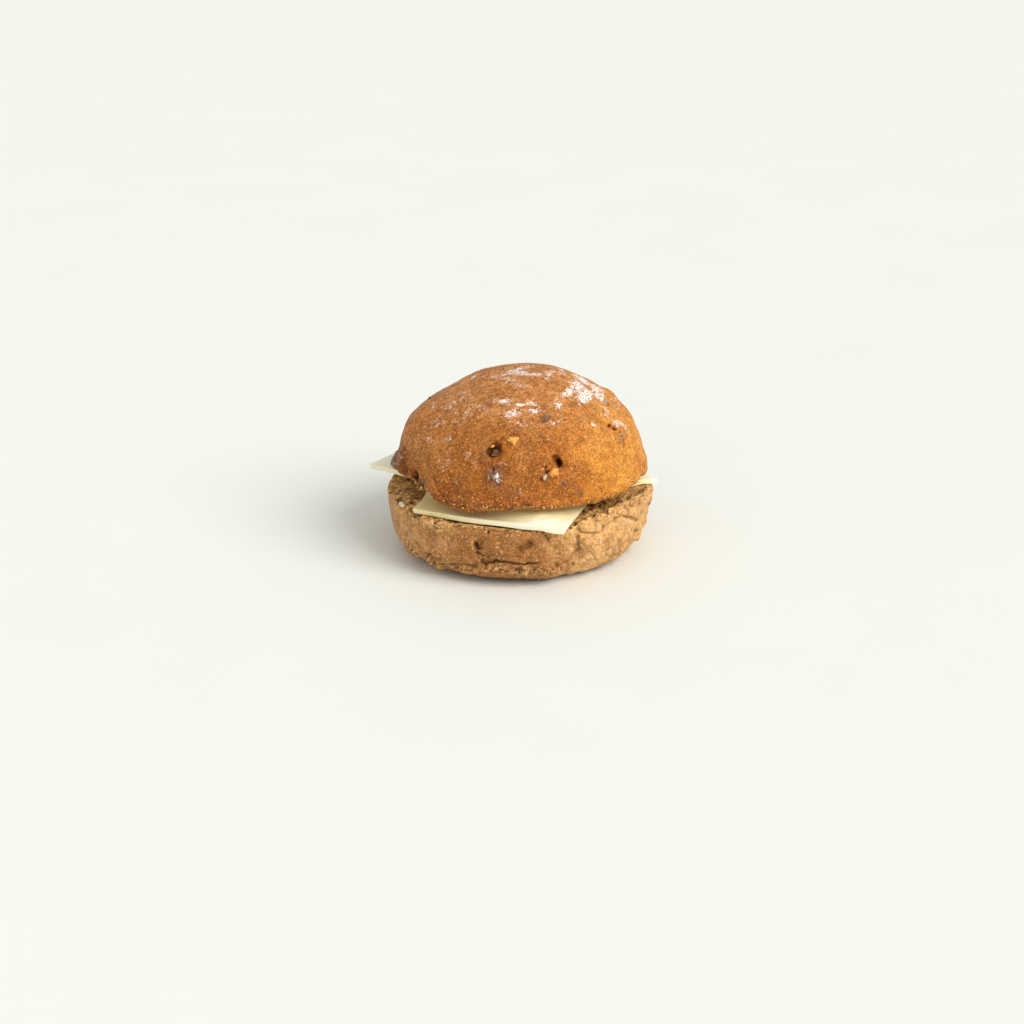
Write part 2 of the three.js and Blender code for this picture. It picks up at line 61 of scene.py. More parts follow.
# Light: direction towards the sun, its strength and spread, and the white room
SUN_TOWARDS = (0.74, -0.46, 0.75)
SUN_STRENGTH = 2.32
SUN_SPREAD = 40.0
SUN_COLOUR = (1.0, 0.99, 0.975)
ROOM_COLOUR = (1.0, 1.0, 0.985, 1.0)
ROOM_STRENGTH = 0.64
FILL_FROM = (-0.55, -1.1, 0.3)
FILL_POWER = 1.2
FILL_SIZE = 1.0
FLOOR_COLOURS = ((0.822, 0.84, 0.785), (0.832, 0.85, 0.795))
FLOOR_REACH = 6.0

# Mesh fineness: voxels, rounds of smoothing, most triangles of a piece, share kept unseen
CROWN_VOXEL = 0.4
HEEL_VOXEL = 0.37
SMOOTH_ROUNDS = 20
MOST_TRIANGLES = 188000
HIDDEN_SHARE = 0.16
SLICE_LEVELS = 2
SLICE_BEVEL = 0.22
SLICE_BEVEL_ANGLE = 40.0
WELD_REACH = 0.01
WORN_EDGE = 0.05
CRUMB_CORNERS = 5

# Axis of each half of the roll
CROWN_AXIS = (1.6, 2.0)
HEEL_AXIS = (0.8, 1.0)

# Where a cut face begins and is whole: how level it is, and its height on each half
LEVEL_RANGE = (0.25, 0.8)
CROWN_CUT = (34.0, 31.0)
HEEL_CUT = (16.0, 18.5)
CROWN_LIP = 28.4

# Distances from the axis within which the cut faces and the heel's base don't show
CROWN_HIDDEN = 34.0
HEEL_HIDDEN = 25.0
BASE_HIDDEN = 26.0
# Distances between which the crown comes to cover the slices
CROWN_COVER = (46.5, 42.0)

# Rise of the heel's rim at the left: middle azimuth, width, height
LEFT_RISE = (-71.0, 11.0, 2.8)

# Middle of the crown's torn edge: azimuth from the front, and height
CROWN_TORN = (-53.0, 31.0)

# Pits: azimuth from the front, height, radius, depth
CROWN_PITS = [
    (-15.5, 46.9, 2.1, 2),
    (-17.2, 46.2, 1.3, 0.8),
    (-13.4, 48.4, 1, 0.7),
    (-5.2, 51.2, 1.7, 0.5),
    (18.6, 42.5, 1, 2.4),
    (18.4, 43.6, 0.8, 1.6),
    (16.6, 44.6, 0.8, 0.9),
    (17.2, 43.5, 1.3, 0.7),
    (12, 40.7, 0.9, 1.6),
    (11.6, 42.2, 0.6, 0.8),
    (-14.2, 41.6, 0.5, 0.9),
    (-11, 39.2, 0.55, 0.9),
    (-14.4, 38.8, 0.5, 0.8),
    (-12.2, 37.8, 0.5, 0.7),
    (8.6, 38.4, 0.6, 0.8),
    (61.2, 48.7, 0.75, 1.6),
    (62.5, 47.6, 0.85, 1.9),
    (63.4, 46.8, 0.5, 1),
    (-60, 31.4, 2.6, 2.2),
    (-53, 30.2, 2.2, 1.5),
    (-68, 32.4, 1.6, 1.1),
    (27, 32.6, 0.5, 0.6),
    (19, 36.4, 0.5, 0.4),
    (2, 29.4, 1.4, 0.9),
    (-4, 29.6, 0.9, 0.7),
]
HEEL_PITS = [
    (-18.4, 12.2, 0.9, 0.9),
    (-45, 7.6, 0.9, 1.3),
    (-41.6, 5, 0.8, 1.1),
    (-49, 7.4, 0.6, 0.9),
    (-38.4, 7, 0.6, 0.8),
    (-53, 8.4, 0.6, 0.8),
    (-57.6, 7, 0.6, 0.8),
    (-31, 4.6, 0.7, 0.7),
    (-24, 5.2, 0.6, 0.7),
    (1, 6.6, 0.7, 0.8),
    (6, 8, 0.6, 0.7),
    (-10, 8.2, 0.6, 0.7),
    (13, 6, 0.6, 0.7),
    (24, 7.4, 0.7, 0.8),
    (66, 23.6, 0.9, 1.6),
    (-21, 6.8, 1, 1.1),
    (-15, 8.4, 0.75, 1.2),
    (-14, 21, 0.6, 0.9),
    (16, 8.3, 0.8, 0.9),
    (20, 9.2, 0.6, 0.6),
    (74, 22.6, 1.3, 2),
    (80, 21.4, 0.9, 1.2),
    (44.5, 20.9, 1, 1),
    (3.5, 16.6, 1.1, 0.8),
    (-59, 5.5, 0.6, 0.6),
    (10, 7.4, 0.6, 0.7),
    (-6, 6.4, 0.7, 0.6),
]

# Cracks: points of azimuth and height, then width, depth and darkness of the painted shade in them
# Folds: the same points, then the lip's rise, the depth under it, its width and darkness of the
# painted shade under the lip
CROWN_CRACKS = [
    ([(80, 54), (80.4, 52.5)], 0.32, 0.5, 1),
    ([(62.6, 46.4), (62, 44.4), (60.5, 41)], 0.5, 0.5, 0.5),
    ([(21.6, 32.6), (21.2, 30)], 0.45, 0.4, 0.6),
    ([(79, 33.4), (77, 30.6), (75, 29.6)], 0.5, 0.8, 0.7),
    ([(-71.5, 36.2), (-70, 33)], 0.7, 0.9, 0.7),
    ([(-79, 38.2), (-73, 37.9)], 0.5, 0.8, 0.8),
]
CROWN_FOLDS = [
    ([(-18.6, 46.8), (-17, 48.6), (-13, 50.2), (-9.5, 50.7)], 0.28, 0.5, 0.7, 0.55),
    ([(-36, 29.3), (-40, 31.2), (-42.5, 34), (-46, 36.2)], 0.45, 0.7, 1.3, 0.35),
    ([(50, 50.6), (54, 48.3), (56, 46.4), (59, 41.8)], 0.35, 0.35, 1.2, 0.1),
]
HEEL_CRACKS = [
    ([(-68, 22.6), (-65, 22), (-62, 21.2), (-59, 20.4), (-57, 19.8)], 0.9, 1.3, 1),
    ([(-19.6, 16.4), (-18.9, 15), (-17.8, 13.9)], 0.75, 2.4, 1),
    ([(-52.5, 10.8), (-49, 8.6)], 0.6, 0.9, 0.8),
    ([(-18.4, 14.4), (-19.6, 12.8), (-18, 11)], 0.5, 0.9, 0.7),
    ([(-1.5, 14.3), (2, 15.7), (5.4, 17.5)], 1.1, 1, 0.55),
    ([(10.6, 20.6), (12, 18.3), (13, 16.7), (15.4, 14.4)], 0.5, 1, 0.7),
    ([(38, 17.8), (38.6, 19.2), (38.2, 20.6)], 0.5, 0.7, 0.6),
    ([(-13, 6), (-9, 5.4)], 0.5, 0.6, 0.6),
    ([(4, 6.2), (9, 5.6)], 0.5, 0.6, 0.6),
    ([(118, 8.6), (126, 12), (134, 14.4)], 0.7, 1.2, 0.9),
    ([(-150, 16), (-143, 12), (-141, 8)], 0.7, 1.1, 0.9),
    ([(86, 18.6), (90, 14), (88, 9)], 0.6, 0.9, 0.8),
    ([(-96, 17), (-99, 12), (-97, 8)], 0.6, 0.9, 0.8),
]
HEEL_FOLDS = [
    ([(-40, 5), (-33, 6.5), (-27, 7.5), (-19.5, 8.4)], 0.22, 0.55, 0.9, 0.7),
    (
        [(-19, 9.2), (-15, 9.9), (-10, 10.5), (-5, 10.2), (0, 9.7), (5, 10), (10, 10.1)],
        *(0.4, 1.25, 0.9, 1),
    ),
    ([(25.6, 22.2), (26.2, 20.9), (28, 19.5), (32, 18.7), (38, 17.9)], 0.6, 0.8, 1, 0.5),
    ([(26, 19.2), (27, 15.4), (27, 12.7), (24, 11), (20.6, 9.2)], 0.35, 0.9, 0.9, 0.6),
    ([(49, 21.8), (56, 19.1), (65, 15.4)], 0.45, 0.8, 1, 0.5),
    ([(-47, 8.2), (-42, 9.2), (-37.6, 7.8)], 0.15, 1.1, 1, 0.9),
    ([(60, 12.6), (68, 10.4), (76, 11.2)], 0.3, 0.7, 1, 0.6),
    ([(-112, 12), (-100, 11), (-86, 10.4)], 0.3, 0.9, 1, 0.8),
    ([(-84, 6), (-74, 6.8), (-66, 6.4)], 0.25, 0.7, 0.9, 0.6),
    ([(96, 12), (106, 13.2), (118, 12.4)], 0.3, 0.9, 1, 0.8),
    ([(150, 10.4), (166, 11.6), (184, 10.2)], 0.3, 1, 1, 0.8),
    ([(-172, 7.4), (-160, 8.6), (-150, 8)], 0.25, 0.8, 0.9, 0.7),
]

# Raised lines: the same points, then width and rise
CROWN_RIDGES = [
    ([(-70, 36.4), (-60, 35), (-53, 34.6)], 1.2, 0.4),
    ([(-48, 30.8), (-46, 32)], 1.4, 0.55),
    ([(-21, 46.4), (-19, 44), (-15, 43.4)], 0.8, 0.25),
    ([(20.5, 44.2), (21, 42), (19.6, 40.6)], 0.7, 0.25),
]
HEEL_RIDGES = [
    ([(-57, 7.4), (-55, 6.4)], 1.9, 0.9),
    ([(-45, 6.4), (-42, 4.6), (-40, 3.2)], 1.2, 1.3),
    ([(-21.6, 15.8), (-21.4, 13.6), (-20, 11.6), (-17, 10.8)], 0.6, 0.35),
    ([(-13, 14.9), (-10, 15.3), (-8.6, 14.8), (-8, 12.8)], 0.5, 0.4),
    ([(28.6, 13), (31, 15.6), (35, 14.2), (37, 11.1), (34, 8.6), (30, 10.1)], 1, 0.45),
    ([(31.4, 12), (33, 13.4), (34.6, 11.8)], 0.8, 0.35),
    ([(48, 14.1), (50, 11.6), (52, 9.2)], 0.9, 0.5),
    ([(43.5, 15.6), (46, 12), (47.4, 8.4)], 0.9, 0.45),
    ([(56, 14), (58.4, 10.8), (60, 7.6)], 0.9, 0.45),
    ([(18, 17), (21, 15.4), (22, 13)], 0.5, 0.3),
    ([(1, 5.8), (4, 4.8), (8, 4.6)], 0.8, 0.5),
    ([(70, 7), (73, 5.4), (78, 6)], 1.2, 0.8),
]

# Flour: azimuth, height, reach along the level, reach upwards, strength
CROWN_FLOUR = [
    (5, 63, 7.5, 1.8, 0.95),
    (-110, 62.9, 8, 2, 0.8),
    (-38, 62.4, 7, 1.6, 0.74),
    (82, 62.5, 6, 1.6, 0.8),
    (110, 61.1, 5, 1.5, 0.65),
    (-104, 59.6, 3.2, 0.9, 0.85),
    (-101, 56.8, 3, 0.8, 0.6),
    (-103, 53.2, 5, 0.8, 0.5),
    (-92, 50.6, 4, 0.7, 0.45),
    (-19, 58.7, 3.4, 1.2, 0.88),
    (-6, 58.1, 3, 0.9, 0.72),
    (6, 58.1, 3, 1, 0.76),
    (9, 56.7, 2.6, 1.1, 0.86),
    (-8, 56, 2.6, 2, 0.95),
    (-1, 54.2, 3.2, 1.5, 0.6),
    (-63, 57.3, 5, 2.4, 0.48),
    (-65, 54.6, 5, 2.2, 0.44),
    (-36, 56.4, 5, 2, 0.42),
    (-44, 54.6, 1.5, 1.1, 0.66),
    (-80, 52.3, 2.2, 2.2, 0.52),
    (-91, 49.3, 2.2, 0.9, 0.5),
    (-85, 47.4, 2.4, 1, 0.48),
    (-45, 52, 3, 2, 0.45),
    (-59, 49.9, 3, 2, 0.46),
    (-44, 47.4, 1, 0.9, 0.92),
    (-56, 45.8, 3.5, 0.7, 0.55),
    (-29, 44.4, 2.4, 1.8, 0.56),
    (-24, 42, 1.8, 1.8, 0.6),
    (-9.5, 43.4, 1, 0.8, 0.62),
    (-12.6, 39.4, 2, 1.6, 0.86),
    (-30, 36.6, 3.2, 3, 0.46),
    (-38, 40, 5, 3, 0.42),
    (-1, 34.4, 0.8, 1.4, 0.6),
    (104, 58, 4.4, 2.8, 1.3),
    (96, 55.8, 5.5, 3, 1.05),
    (88, 54.6, 6, 2.6, 0.98),
    (58, 59.2, 5.5, 1.8, 0.95),
    (70, 57, 6, 2.4, 1.15),
    (80, 59, 5.5, 2.4, 1.05),
    (32, 57.5, 1.3, 2, 0.8),
    (23, 53.6, 3.2, 1.1, 0.8),
    (44, 53.4, 3, 1.2, 0.46),
    (71, 52.6, 2, 2, 0.74),
    (65, 51.5, 2.2, 2, 0.76),
    (67, 49, 3, 1.6, 0.88),
    (71, 46.6, 2.6, 3, 0.74),
    (64, 44.6, 2.6, 3, 0.55),
    (54, 49.4, 0.5, 1.6, 0.95),
    (55, 46.4, 0.5, 1.8, 0.95),
    (58, 42.6, 0.5, 1.6, 0.9),
    (47, 51.2, 1.4, 0.9, 0.88),
    (37, 49.4, 0.5, 1.2, 0.75),
    (48, 48.3, 1.2, 1.8, 0.6),
    (23, 49.5, 0.5, 0.9, 0.65),
    (5, 47.4, 0.8, 1, 0.6),
    (84, 50, 3, 5, 0.52),
    (95, 51, 2.5, 3, 0.64),
    (51, 38.8, 0.5, 1.4, 0.66),
    (53, 36.4, 0.6, 1.2, 0.62),
    (56, 31.8, 1.2, 0.9, 0.6),
    (150, 57, 8, 3, 0.75),
    (172, 52, 7, 2.4, 0.55),
    (-150, 55, 9, 3, 0.6),
    (180, 44, 7, 3, 0.42),
    (120, 46, 6, 3, 0.48),
    (-128, 47, 6, 2.4, 0.44),
]
# Darker patches left by bits under the crust, in the same form
CROWN_STAINS = [
    (19, 36.6, 0.9, 0.9, 0.8),
    (27, 33.2, 1.2, 1.1, 0.65),
    (26, 31.9, 0.4, 0.4, 0.9),
    (-32, 57.6, 1.8, 1, 0.5),
    (52, 57.6, 0.5, 0.35, 0.95),
    (80, 53.3, 0.5, 0.9, 0.95),
    (61, 44.8, 1.5, 1.8, 0.55),
    (-13, 40, 2.5, 2.6, 0.45),
    (-20, 46, 1.4, 1.6, 0.45),
    (-50, 31.6, 3, 2, 0.45),
    (67, 47.6, 1.4, 2.2, 0.3),
]

# Scabs, where flaky crumb stands up through the crust, in the same form
CROWN_SCABS = [
    (-12.8, 39.9, 2.5, 2.8, 1.1),
    (19, 36.5, 0.9, 0.9, 0.7),
    (26.8, 32.9, 1.2, 1.1, 0.7),
    (12.4, 40, 2.6, 1.5, 0.8),
    (17.6, 40.4, 1.4, 1.2, 0.45),
    (-19.4, 44.6, 1.4, 1.6, 0.35),
    (66, 45.6, 1.6, 2.6, 0.4),
    (-76, 33, 2.6, 2.6, 0.45),
    (-53, 31.4, 3, 2.2, 0.6),
    (150, 40, 2.4, 2, 0.6),
]
HEEL_SCABS = [
    (-44, 19.6, 4.6, 1.3, 1),
    (-55.5, 6.6, 3, 2.4, 0.9),
    (-43.5, 5.6, 2.4, 2.2, 0.9),
    (-17.6, 10.2, 1.6, 1.6, 0.8),
    (-27, 5, 6, 1.6, 0.8),
    (-10, 7, 5, 1.5, 1),
    (2, 6.4, 5, 1.6, 1.1),
    (13, 5.8, 5, 1.6, 1),
    (22, 6.6, 3, 2, 0.7),
    (44, 21.6, 3.6, 1.2, 0.8),
    (66, 22.6, 3.6, 1.6, 0.8),
    (52, 6, 6, 2, 0.6),
    (62, 12, 3, 4, 0.6),
    (74, 9, 3, 3, 0.55),
    (-128, 8, 5, 2.4, 0.6),
    (160, 7, 6, 2.4, 0.6),
]

# Walnut bits: azimuth, height, length, width, thickness, turn, lift of the middle, corners, kind
CROWN_NUTS = [
    (-14.2, 45.7, 4.4, 4, 3.4, 50, -0.7, 4, "dark"),
    (-16.6, 48, 1.7, 1.3, 0.9, 40, 0.15, 4, "golden"),
    (-5, 50.2, 4.1, 4.6, 1.6, -70, 0.4, 3, "golden"),
    (14.6, 40.7, 4.4, 3.6, 2.8, 35, 0.15, 5, "tan"),
    (16.4, 39.6, 1.8, 1.4, 1.2, 70, 0.15, 4, "tan"),
    (10, 39.1, 2.9, 2.2, 1.8, 60, 0, 4, "pale"),
    (9.4, 41.6, 1.6, 1.2, 1, 20, 0.1, 4, "tan"),
    (16.2, 55.1, 4.4, 2.8, 1.2, 22, 0, 4, "dusted"),
    (60, 52.4, 2.8, 1.3, 1, 20, -0.05, 4, "golden"),
    (52, 51.5, 1.5, 1.4, 1.1, 30, -0.2, 6, "olive"),
    (-77, 34, 7.2, 4.6, 3.4, 80, -0.3, 9, "dusted"),
    (-100, 50.8, 1.5, 1.2, 1.2, 15, 0, 5, "dark"),
    (140, 48, 3.6, 2.6, 1.8, 30, -0.3, 5, "dark"),
    (-160, 42, 4, 3, 1.8, -20, -0.3, 5, "dusted"),
]
HEEL_NUTS = [
    (-63.5, 24.4, 3, 1.7, 1.5, -18, 0.6, 7, "cream"),
    (82, 16.5, 2.6, 2, 1.4, 35, -0.35, 5, "dusted"),
    (170, 15.5, 3, 2.4, 1.6, 10, -0.35, 5, "dark"),
]

# Runs of loose crumbs: first and last azimuth, heights there, count, smallest and largest size
CROWN_CRUMBS = [
    (-38, 20, 29.2, 29, 34, 0.35, 0.85),
    (20, 78, 29, 30.6, 26, 0.35, 0.8),
    (-60, -40, 29.6, 29.2, 12, 0.5, 1.2),
]
HEEL_CRUMBS = [
    (-50, -34, 19.8, 20.2, 34, 0.7, 1.9),
    (-34, 12, 20.8, 20.6, 22, 0.35, 0.8),
    (34, 70, 23.2, 23.4, 30, 0.7, 2),
    (-62, -30, 2.2, 1.6, 12, 0.5, 1.3),
    (20, 84, 1.8, 3.4, 18, 0.5, 1.3),
    (-10, 24, 5.8, 6.4, 30, 0.45, 1.1),
]

# Seed of each piece's marks or random draws
SEEDS = {
    "crown_crust": 3,
    "heel_crust": 5,
    "rear_slice": 7,
    "front_slice": 17,
    "crown_walnuts": 200,
    "heel_walnuts": 300,
    "crown_crumbs": 400,
    "heel_crumbs": 500,
}

# Factors that mix a cell's place and a seed into repeatable values
PLACE_FACTORS = (73856093, 19349663, 83492791)
SEED_FACTOR = 2654435761
VALUE_FACTORS = (0x9E3779B97F4A7C15, 0xC2B2AE3D27D4EB4F, 0x165667B19E3779F9)
LAST_FACTOR = 0xBF58476D1CE4E5B9
LOW_BITS = 0xFFFFFF

# How far a seed moves noise and pores, and a move that keeps every cell above zero
NOISE_SHIFT = 7.31
PORE_SHIFT = 3.7
FAR = 1000.0
# Radii of the smallest and largest pores, as shares of a cell
PORE_RADII = (0.12, 0.55)
# How far from its line each kind of mark is worked out
MARK_REACH = {"cracks": 3.0, "folds": 4.0, "ridges": 3.0}

# Colours of the painted shade in the crust's hollows, of its stains and the painted shade among
# them, of deep crumb, of loose crumbs, and of flour on nuts
PAINTED_SHADE_COLOUR = (0.03, 0.01, 0.004)
STAIN_AND_SHADE_COLOUR = (0.17, 0.085, 0.055)
DEEP_CRUMB_COLOUR = (0.16, 0.062, 0.022)
CRUMB_COLOURS = ((0.46, 0.2, 0.055), (0.82, 0.49, 0.19))
NUT_FLOUR_COLOUR = (0.9, 0.82, 0.75)
# Cheese: its two main colours, its golden tint where shade is painted under the crown and at the
# front left, and where it is streaked, at an edge or speckled
CHEESE_COLOURS = ((0.99, 0.93, 0.7), (1.0, 0.95, 0.78))
SHADED_CHEESE = (0.98, 0.79, 0.34)
STREAK_CHEESE = (0.95, 0.8, 0.48)
EDGE_CHEESE = (0.97, 0.83, 0.46)
SPECK_CHEESE = (0.75, 0.36, 0.08)


def lattice(cells, seed):
    """Three repeatable values in -1..1 for each whole-number cell."""
    mixed = np.uint64(seed * SEED_FACTOR % (1 << 32))
    for k, factor in enumerate(PLACE_FACTORS):
        mixed = mixed ^ cells[..., k].astype(np.uint64) * np.uint64(factor)
    values = []
    for factor in VALUE_FACTORS:
        spun = mixed * np.uint64(factor)
        spun ^= spun >> np.uint64(29)
        spun *= np.uint64(LAST_FACTOR)
        spun ^= spun >> np.uint64(32)
        values.append((spun & np.uint64(LOW_BITS)).astype(float) / float(LOW_BITS) * 2 - 1)
    return np.stack(values, -1)


def noise(points, size, seed):
    """Gradient noise of a wavelength in millimetres, about -1..1."""
    place = points / size + seed * NOISE_SHIFT + FAR
    cell = np.floor(place)
    inside = place - cell
    ease = inside**3 * (inside * (inside * 6 - 15) + 10)
    total = np.zeros(len(points))
    for corner in np.ndindex(2, 2, 2):
        offset = np.array(corner, float)
        slope = lattice((cell + offset).astype(np.int64), seed)
        weight = np.prod(np.where(offset == 1, ease, 1 - ease), axis=1)
        total += weight * ((inside - offset) * slope).sum(1)
    return total * 1.6


def layered(points, size, seed, octaves, fall=0.5):
    """Noise with finer and fainter layers over it."""
    total = np.zeros(len(points))
    share = 1.0
    for octave in range(octaves):
        total += share * noise(points, size / 2**octave, seed + 11 * octave)
        share *= fall
    return total


def holes(points, size, seed):
    """Round hollows of random place and radius, 1 at their middles."""
    smallest, largest = PORE_RADII
    place = points / size + seed * PORE_SHIFT + FAR
    cell = np.floor(place).astype(np.int64)
    deepest = np.zeros(len(points))
    for corner in np.ndindex(3, 3, 3):
        other = cell + np.array(corner) - 1
        centre = other + 0.5 + 0.5 * lattice(other, seed)
        share = np.abs(lattice(other, seed + 5)[:, 0]) ** 1.6
        radius = smallest + (largest - smallest) * share
        away = np.linalg.norm(place - centre, axis=1) / radius
        deepest = np.maximum(deepest, step(1.15, 0.55, away) * (0.4 + 0.6 * radius / largest))
    return deepest


def step(low, high, values):
    """Smooth rise from 0 at low to 1 at high."""
    share = np.clip((values - low) / (high - low), 0.0, 1.0)
    return share * share * (3 - 2 * share)


def bell(values, width, power=2.0):
    """1 at zero, falling away within about one width on both sides."""
    return np.exp(-(np.abs(values / width) ** power))


def raggedness(points, seed):
    """Uneven noise of two sizes for torn edges."""
    return 0.6 * noise(points, 1.3, seed) + 0.5 * noise(points, 2.7, seed + 2)


def polar(points, axis):
    """Azimuth from the front in degrees, and distance from an upright axis."""
    x, y = (points[:, :2] - np.array(axis)).T
    return np.degrees(np.arctan2(x, -y)), np.hypot(x, y)


def read_array(items, name, width, kind=np.float32):
    flat = np.empty(len(items) * width, kind)
    items.foreach_get(name, flat)
    return flat.reshape(-1, width)


def read_points(mesh):
    return read_array(mesh.vertices, "co", 3).astype(float) / MM


def write_points(mesh, points):
    mesh.vertices.foreach_set("co", (points * MM).astype(np.float32).ravel())
    mesh.update()


def read_normals(mesh):
    return read_array(mesh.vertex_normals, "vector", 3).astype(float)


def read_edges(mesh):
    return read_array(mesh.edges, "vertices", 2, np.int32)


def relaxed(points, edges, rounds, pull=0.5):
    """Points drawn towards the middle of their neighbours."""
    a, b = edges.T
    size = len(points)
    count = (np.bincount(a, minlength=size) + np.bincount(b, minlength=size))[:, None]
    for _ in range(rounds):
        total = np.empty_like(points)
        for k in range(3):
            total[:, k] = np.bincount(a, points[b, k], size) + np.bincount(b, points[a, k], size)
        points = points + pull * (total / count - points)
    return points


def evened(points, edges, rounds):
    """Points smoothed without losing the roundness of the whole."""
    soft = relaxed(points, edges, rounds)
    return soft + relaxed(points - soft, edges, rounds)


def baked(obj):
    """The object's mesh with its modifiers applied."""
    graph = bpy.context.evaluated_depsgraph_get()
    mesh = bpy.data.meshes.new_from_object(obj.evaluated_get(graph))
    obj.modifiers.clear()
    obj.data = mesh
    mesh.name = obj.name
    return mesh


def added(name, data):
    """A new object in the scene."""
    obj = bpy.data.objects.new(name, data)
    bpy.context.collection.objects.link(obj)
    return obj


def copied(node, name):
    obj = added(name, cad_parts[node].data.copy())
    obj.data.materials.clear()
    return obj


def remeshed_copy(node, name, voxel):
    """A fine, evenly meshed copy of a CAD node."""
    obj = copied(node, name)
    remesh = obj.modifiers.new("remesh", "REMESH")
    remesh.mode = "VOXEL"
    remesh.voxel_size = voxel * MM
    baked(obj)
    return obj


def thinned(obj, hidden):
    """Fewer faces: first where nothing shows, then everywhere, down to the limit."""
    group = obj.vertex_groups.new(name="hidden")
    group.add([int(k) for k in np.flatnonzero(hidden)], 1.0, "REPLACE")
    lighter = obj.modifiers.new("lighter", "DECIMATE")
    lighter.vertex_group = "hidden"
    lighter.ratio = 1 - float(np.mean(hidden)) * (1 - HIDDEN_SHARE)
    baked(obj)
    left = sum(len(face.vertices) - 2 for face in obj.data.polygons)
    if left > MOST_TRIANGLES:
        even = obj.modifiers.new("even", "DECIMATE")
        even.ratio = MOST_TRIANGLES / left
        baked(obj)
    obj.vertex_groups.clear()
    shade_smooth(obj.data)


def add_values(mesh, **layers):
    for name, values in layers.items():
        attribute = mesh.attributes.new(name, "FLOAT", "POINT")
        attribute.data.foreach_set("value", np.clip(values, 0.0, 1.0).astype(np.float32))


def shade_smooth(mesh):
    mesh.polygons.foreach_set("use_smooth", np.ones(len(mesh.polygons), bool))


class Surface:
    """The smooth outer crust of one half of the roll, on which marks are placed."""

    def __init__(self, points, normals, outer, axis):
        self.points = points
        self.normals = normals
        self.places = np.flatnonzero(outer)
        self.azimuths, self.reaches = polar(points[self.places], axis)

    def at(self, azimuth, height):
        """The crust's vertex nearest to an azimuth and height."""
        apart = (self.azimuths - azimuth + 180) % 360 - 180
        along = np.radians(apart) * self.reaches
        miss = along**2 + (self.points[self.places, 2] - height) ** 2
        return int(self.places[np.argmin(miss)])

    def axes(self, azimuth, height):
        """Middle, level direction, upward direction and normal of a mark."""
        at = self.at(azimuth, height)
        normal = self.normals[at] / np.linalg.norm(self.normals[at])
        level = np.cross((0.0, 0.0, 1.0), normal)
        level /= max(np.linalg.norm(level), 1e-6)
        return self.points[at], level, np.cross(normal, level), normal


def near_box(points, line, reach):
    """Which points lie within reach of the box round a line."""
    low = line.min(0) - reach
    high = line.max(0) + reach
    return np.flatnonzero(((points > low) & (points < high)).all(1))


def beside_path(points, normals, line):
    """Distance to a line, signed distance across it, and the share along it."""
    nearest = np.full(len(points), 1e6)
    across = np.zeros(len(points))
    along = np.zeros(len(points))
    lengths = np.linalg.norm(np.diff(line, axis=0), axis=1)
    starts = np.concatenate([[0.0], np.cumsum(lengths)])
    for k, (start, end) in enumerate(zip(line[:-1], line[1:])):
        run = (end - start) / max(lengths[k], 1e-6)
        travel = np.clip((points - start) @ run, 0, lengths[k])
        offset = points - start - travel[:, None] * run
        away = np.linalg.norm(offset, axis=1)
        closer = away < nearest
        side = np.einsum("ij,ij->i", offset, np.cross(normals, run))
        nearest = np.where(closer, away, nearest)
        across = np.where(closer, side, across)
        along = np.where(closer, (starts[k] + travel) / max(starts[-1], 1e-6), along)
    return nearest, across, along


def torn(points, seed, amount):
    """Points shifted about, so that marks drawn on them get uneven outlines."""
    coarse = [noise(points, 2.2, seed + k) for k in range(3)]
    fine = [0.6 * noise(points, 1.0, seed + 3 + k) for k in range(3)]
    return points + amount * (np.stack(coarse, 1) + np.stack(fine, 1))


def carve(surface, pits, cracks, folds, ridges, seed):
    """Height of the marks on a crust, and how much shade is painted into each point's hollow."""
    ragged = torn(surface.points, seed, 0.38)
    height = np.zeros(len(ragged))
    dark = np.zeros(len(ragged))
    for azimuth, level, radius, depth in pits:
        centre = surface.points[surface.at(azimuth, level)]
        close = near_box(ragged, centre[None], 3 * radius)
        hollow = bell(np.linalg.norm(ragged[close] - centre, axis=1), radius, 3.5)
        height[close] -= depth * hollow
        # Painted shade in the pit
        dark[close] = np.maximum(dark[close], hollow * min(1.0, 0.15 + 0.4 * depth))

    def lines(kind, marks):
        for path, *values in marks:
            line = np.array([surface.points[surface.at(a, h)] for a, h in path])
            close = near_box(ragged, line, MARK_REACH[kind])
            yield close, *beside_path(ragged[close], surface.normals[close], line), values

    for close, away, _, along, (width, depth, shade) in lines("cracks", cracks):
        groove = bell(away, width, 1.3) * step(0.0, 0.15, along + 0.05)
        groove *= step(1.0, 0.8, along - 0.05)
        height[close] -= depth * groove
        # Painted shade along the crack
        dark[close] = np.maximum(dark[close], shade * groove**1.5)
    for close, away, across, along, (rise, depth, width, shade) in lines("folds", folds):
        ends = step(0.0, 0.12, along) * step(1.0, 0.88, along)
        across = np.where(away > np.abs(across) + 0.6, np.sign(across) * away, across)
        above = step(-0.22, 0.22, across)
        lip = rise * bell(across - 0.9, 1.5)
        under = depth * np.exp(-np.maximum(-across, 0.0) / width)
        height[close] += ends * (above * lip - (1 - above) * under)
        # Painted shade under the fold's lip
        dark[close] = np.maximum(dark[close], shade * ends * bell(across + 0.3, 0.42))
    for close, away, _, _, (width, rise) in lines("ridges", ridges):
        height[close] += rise * bell(away, width)
    return height, dark


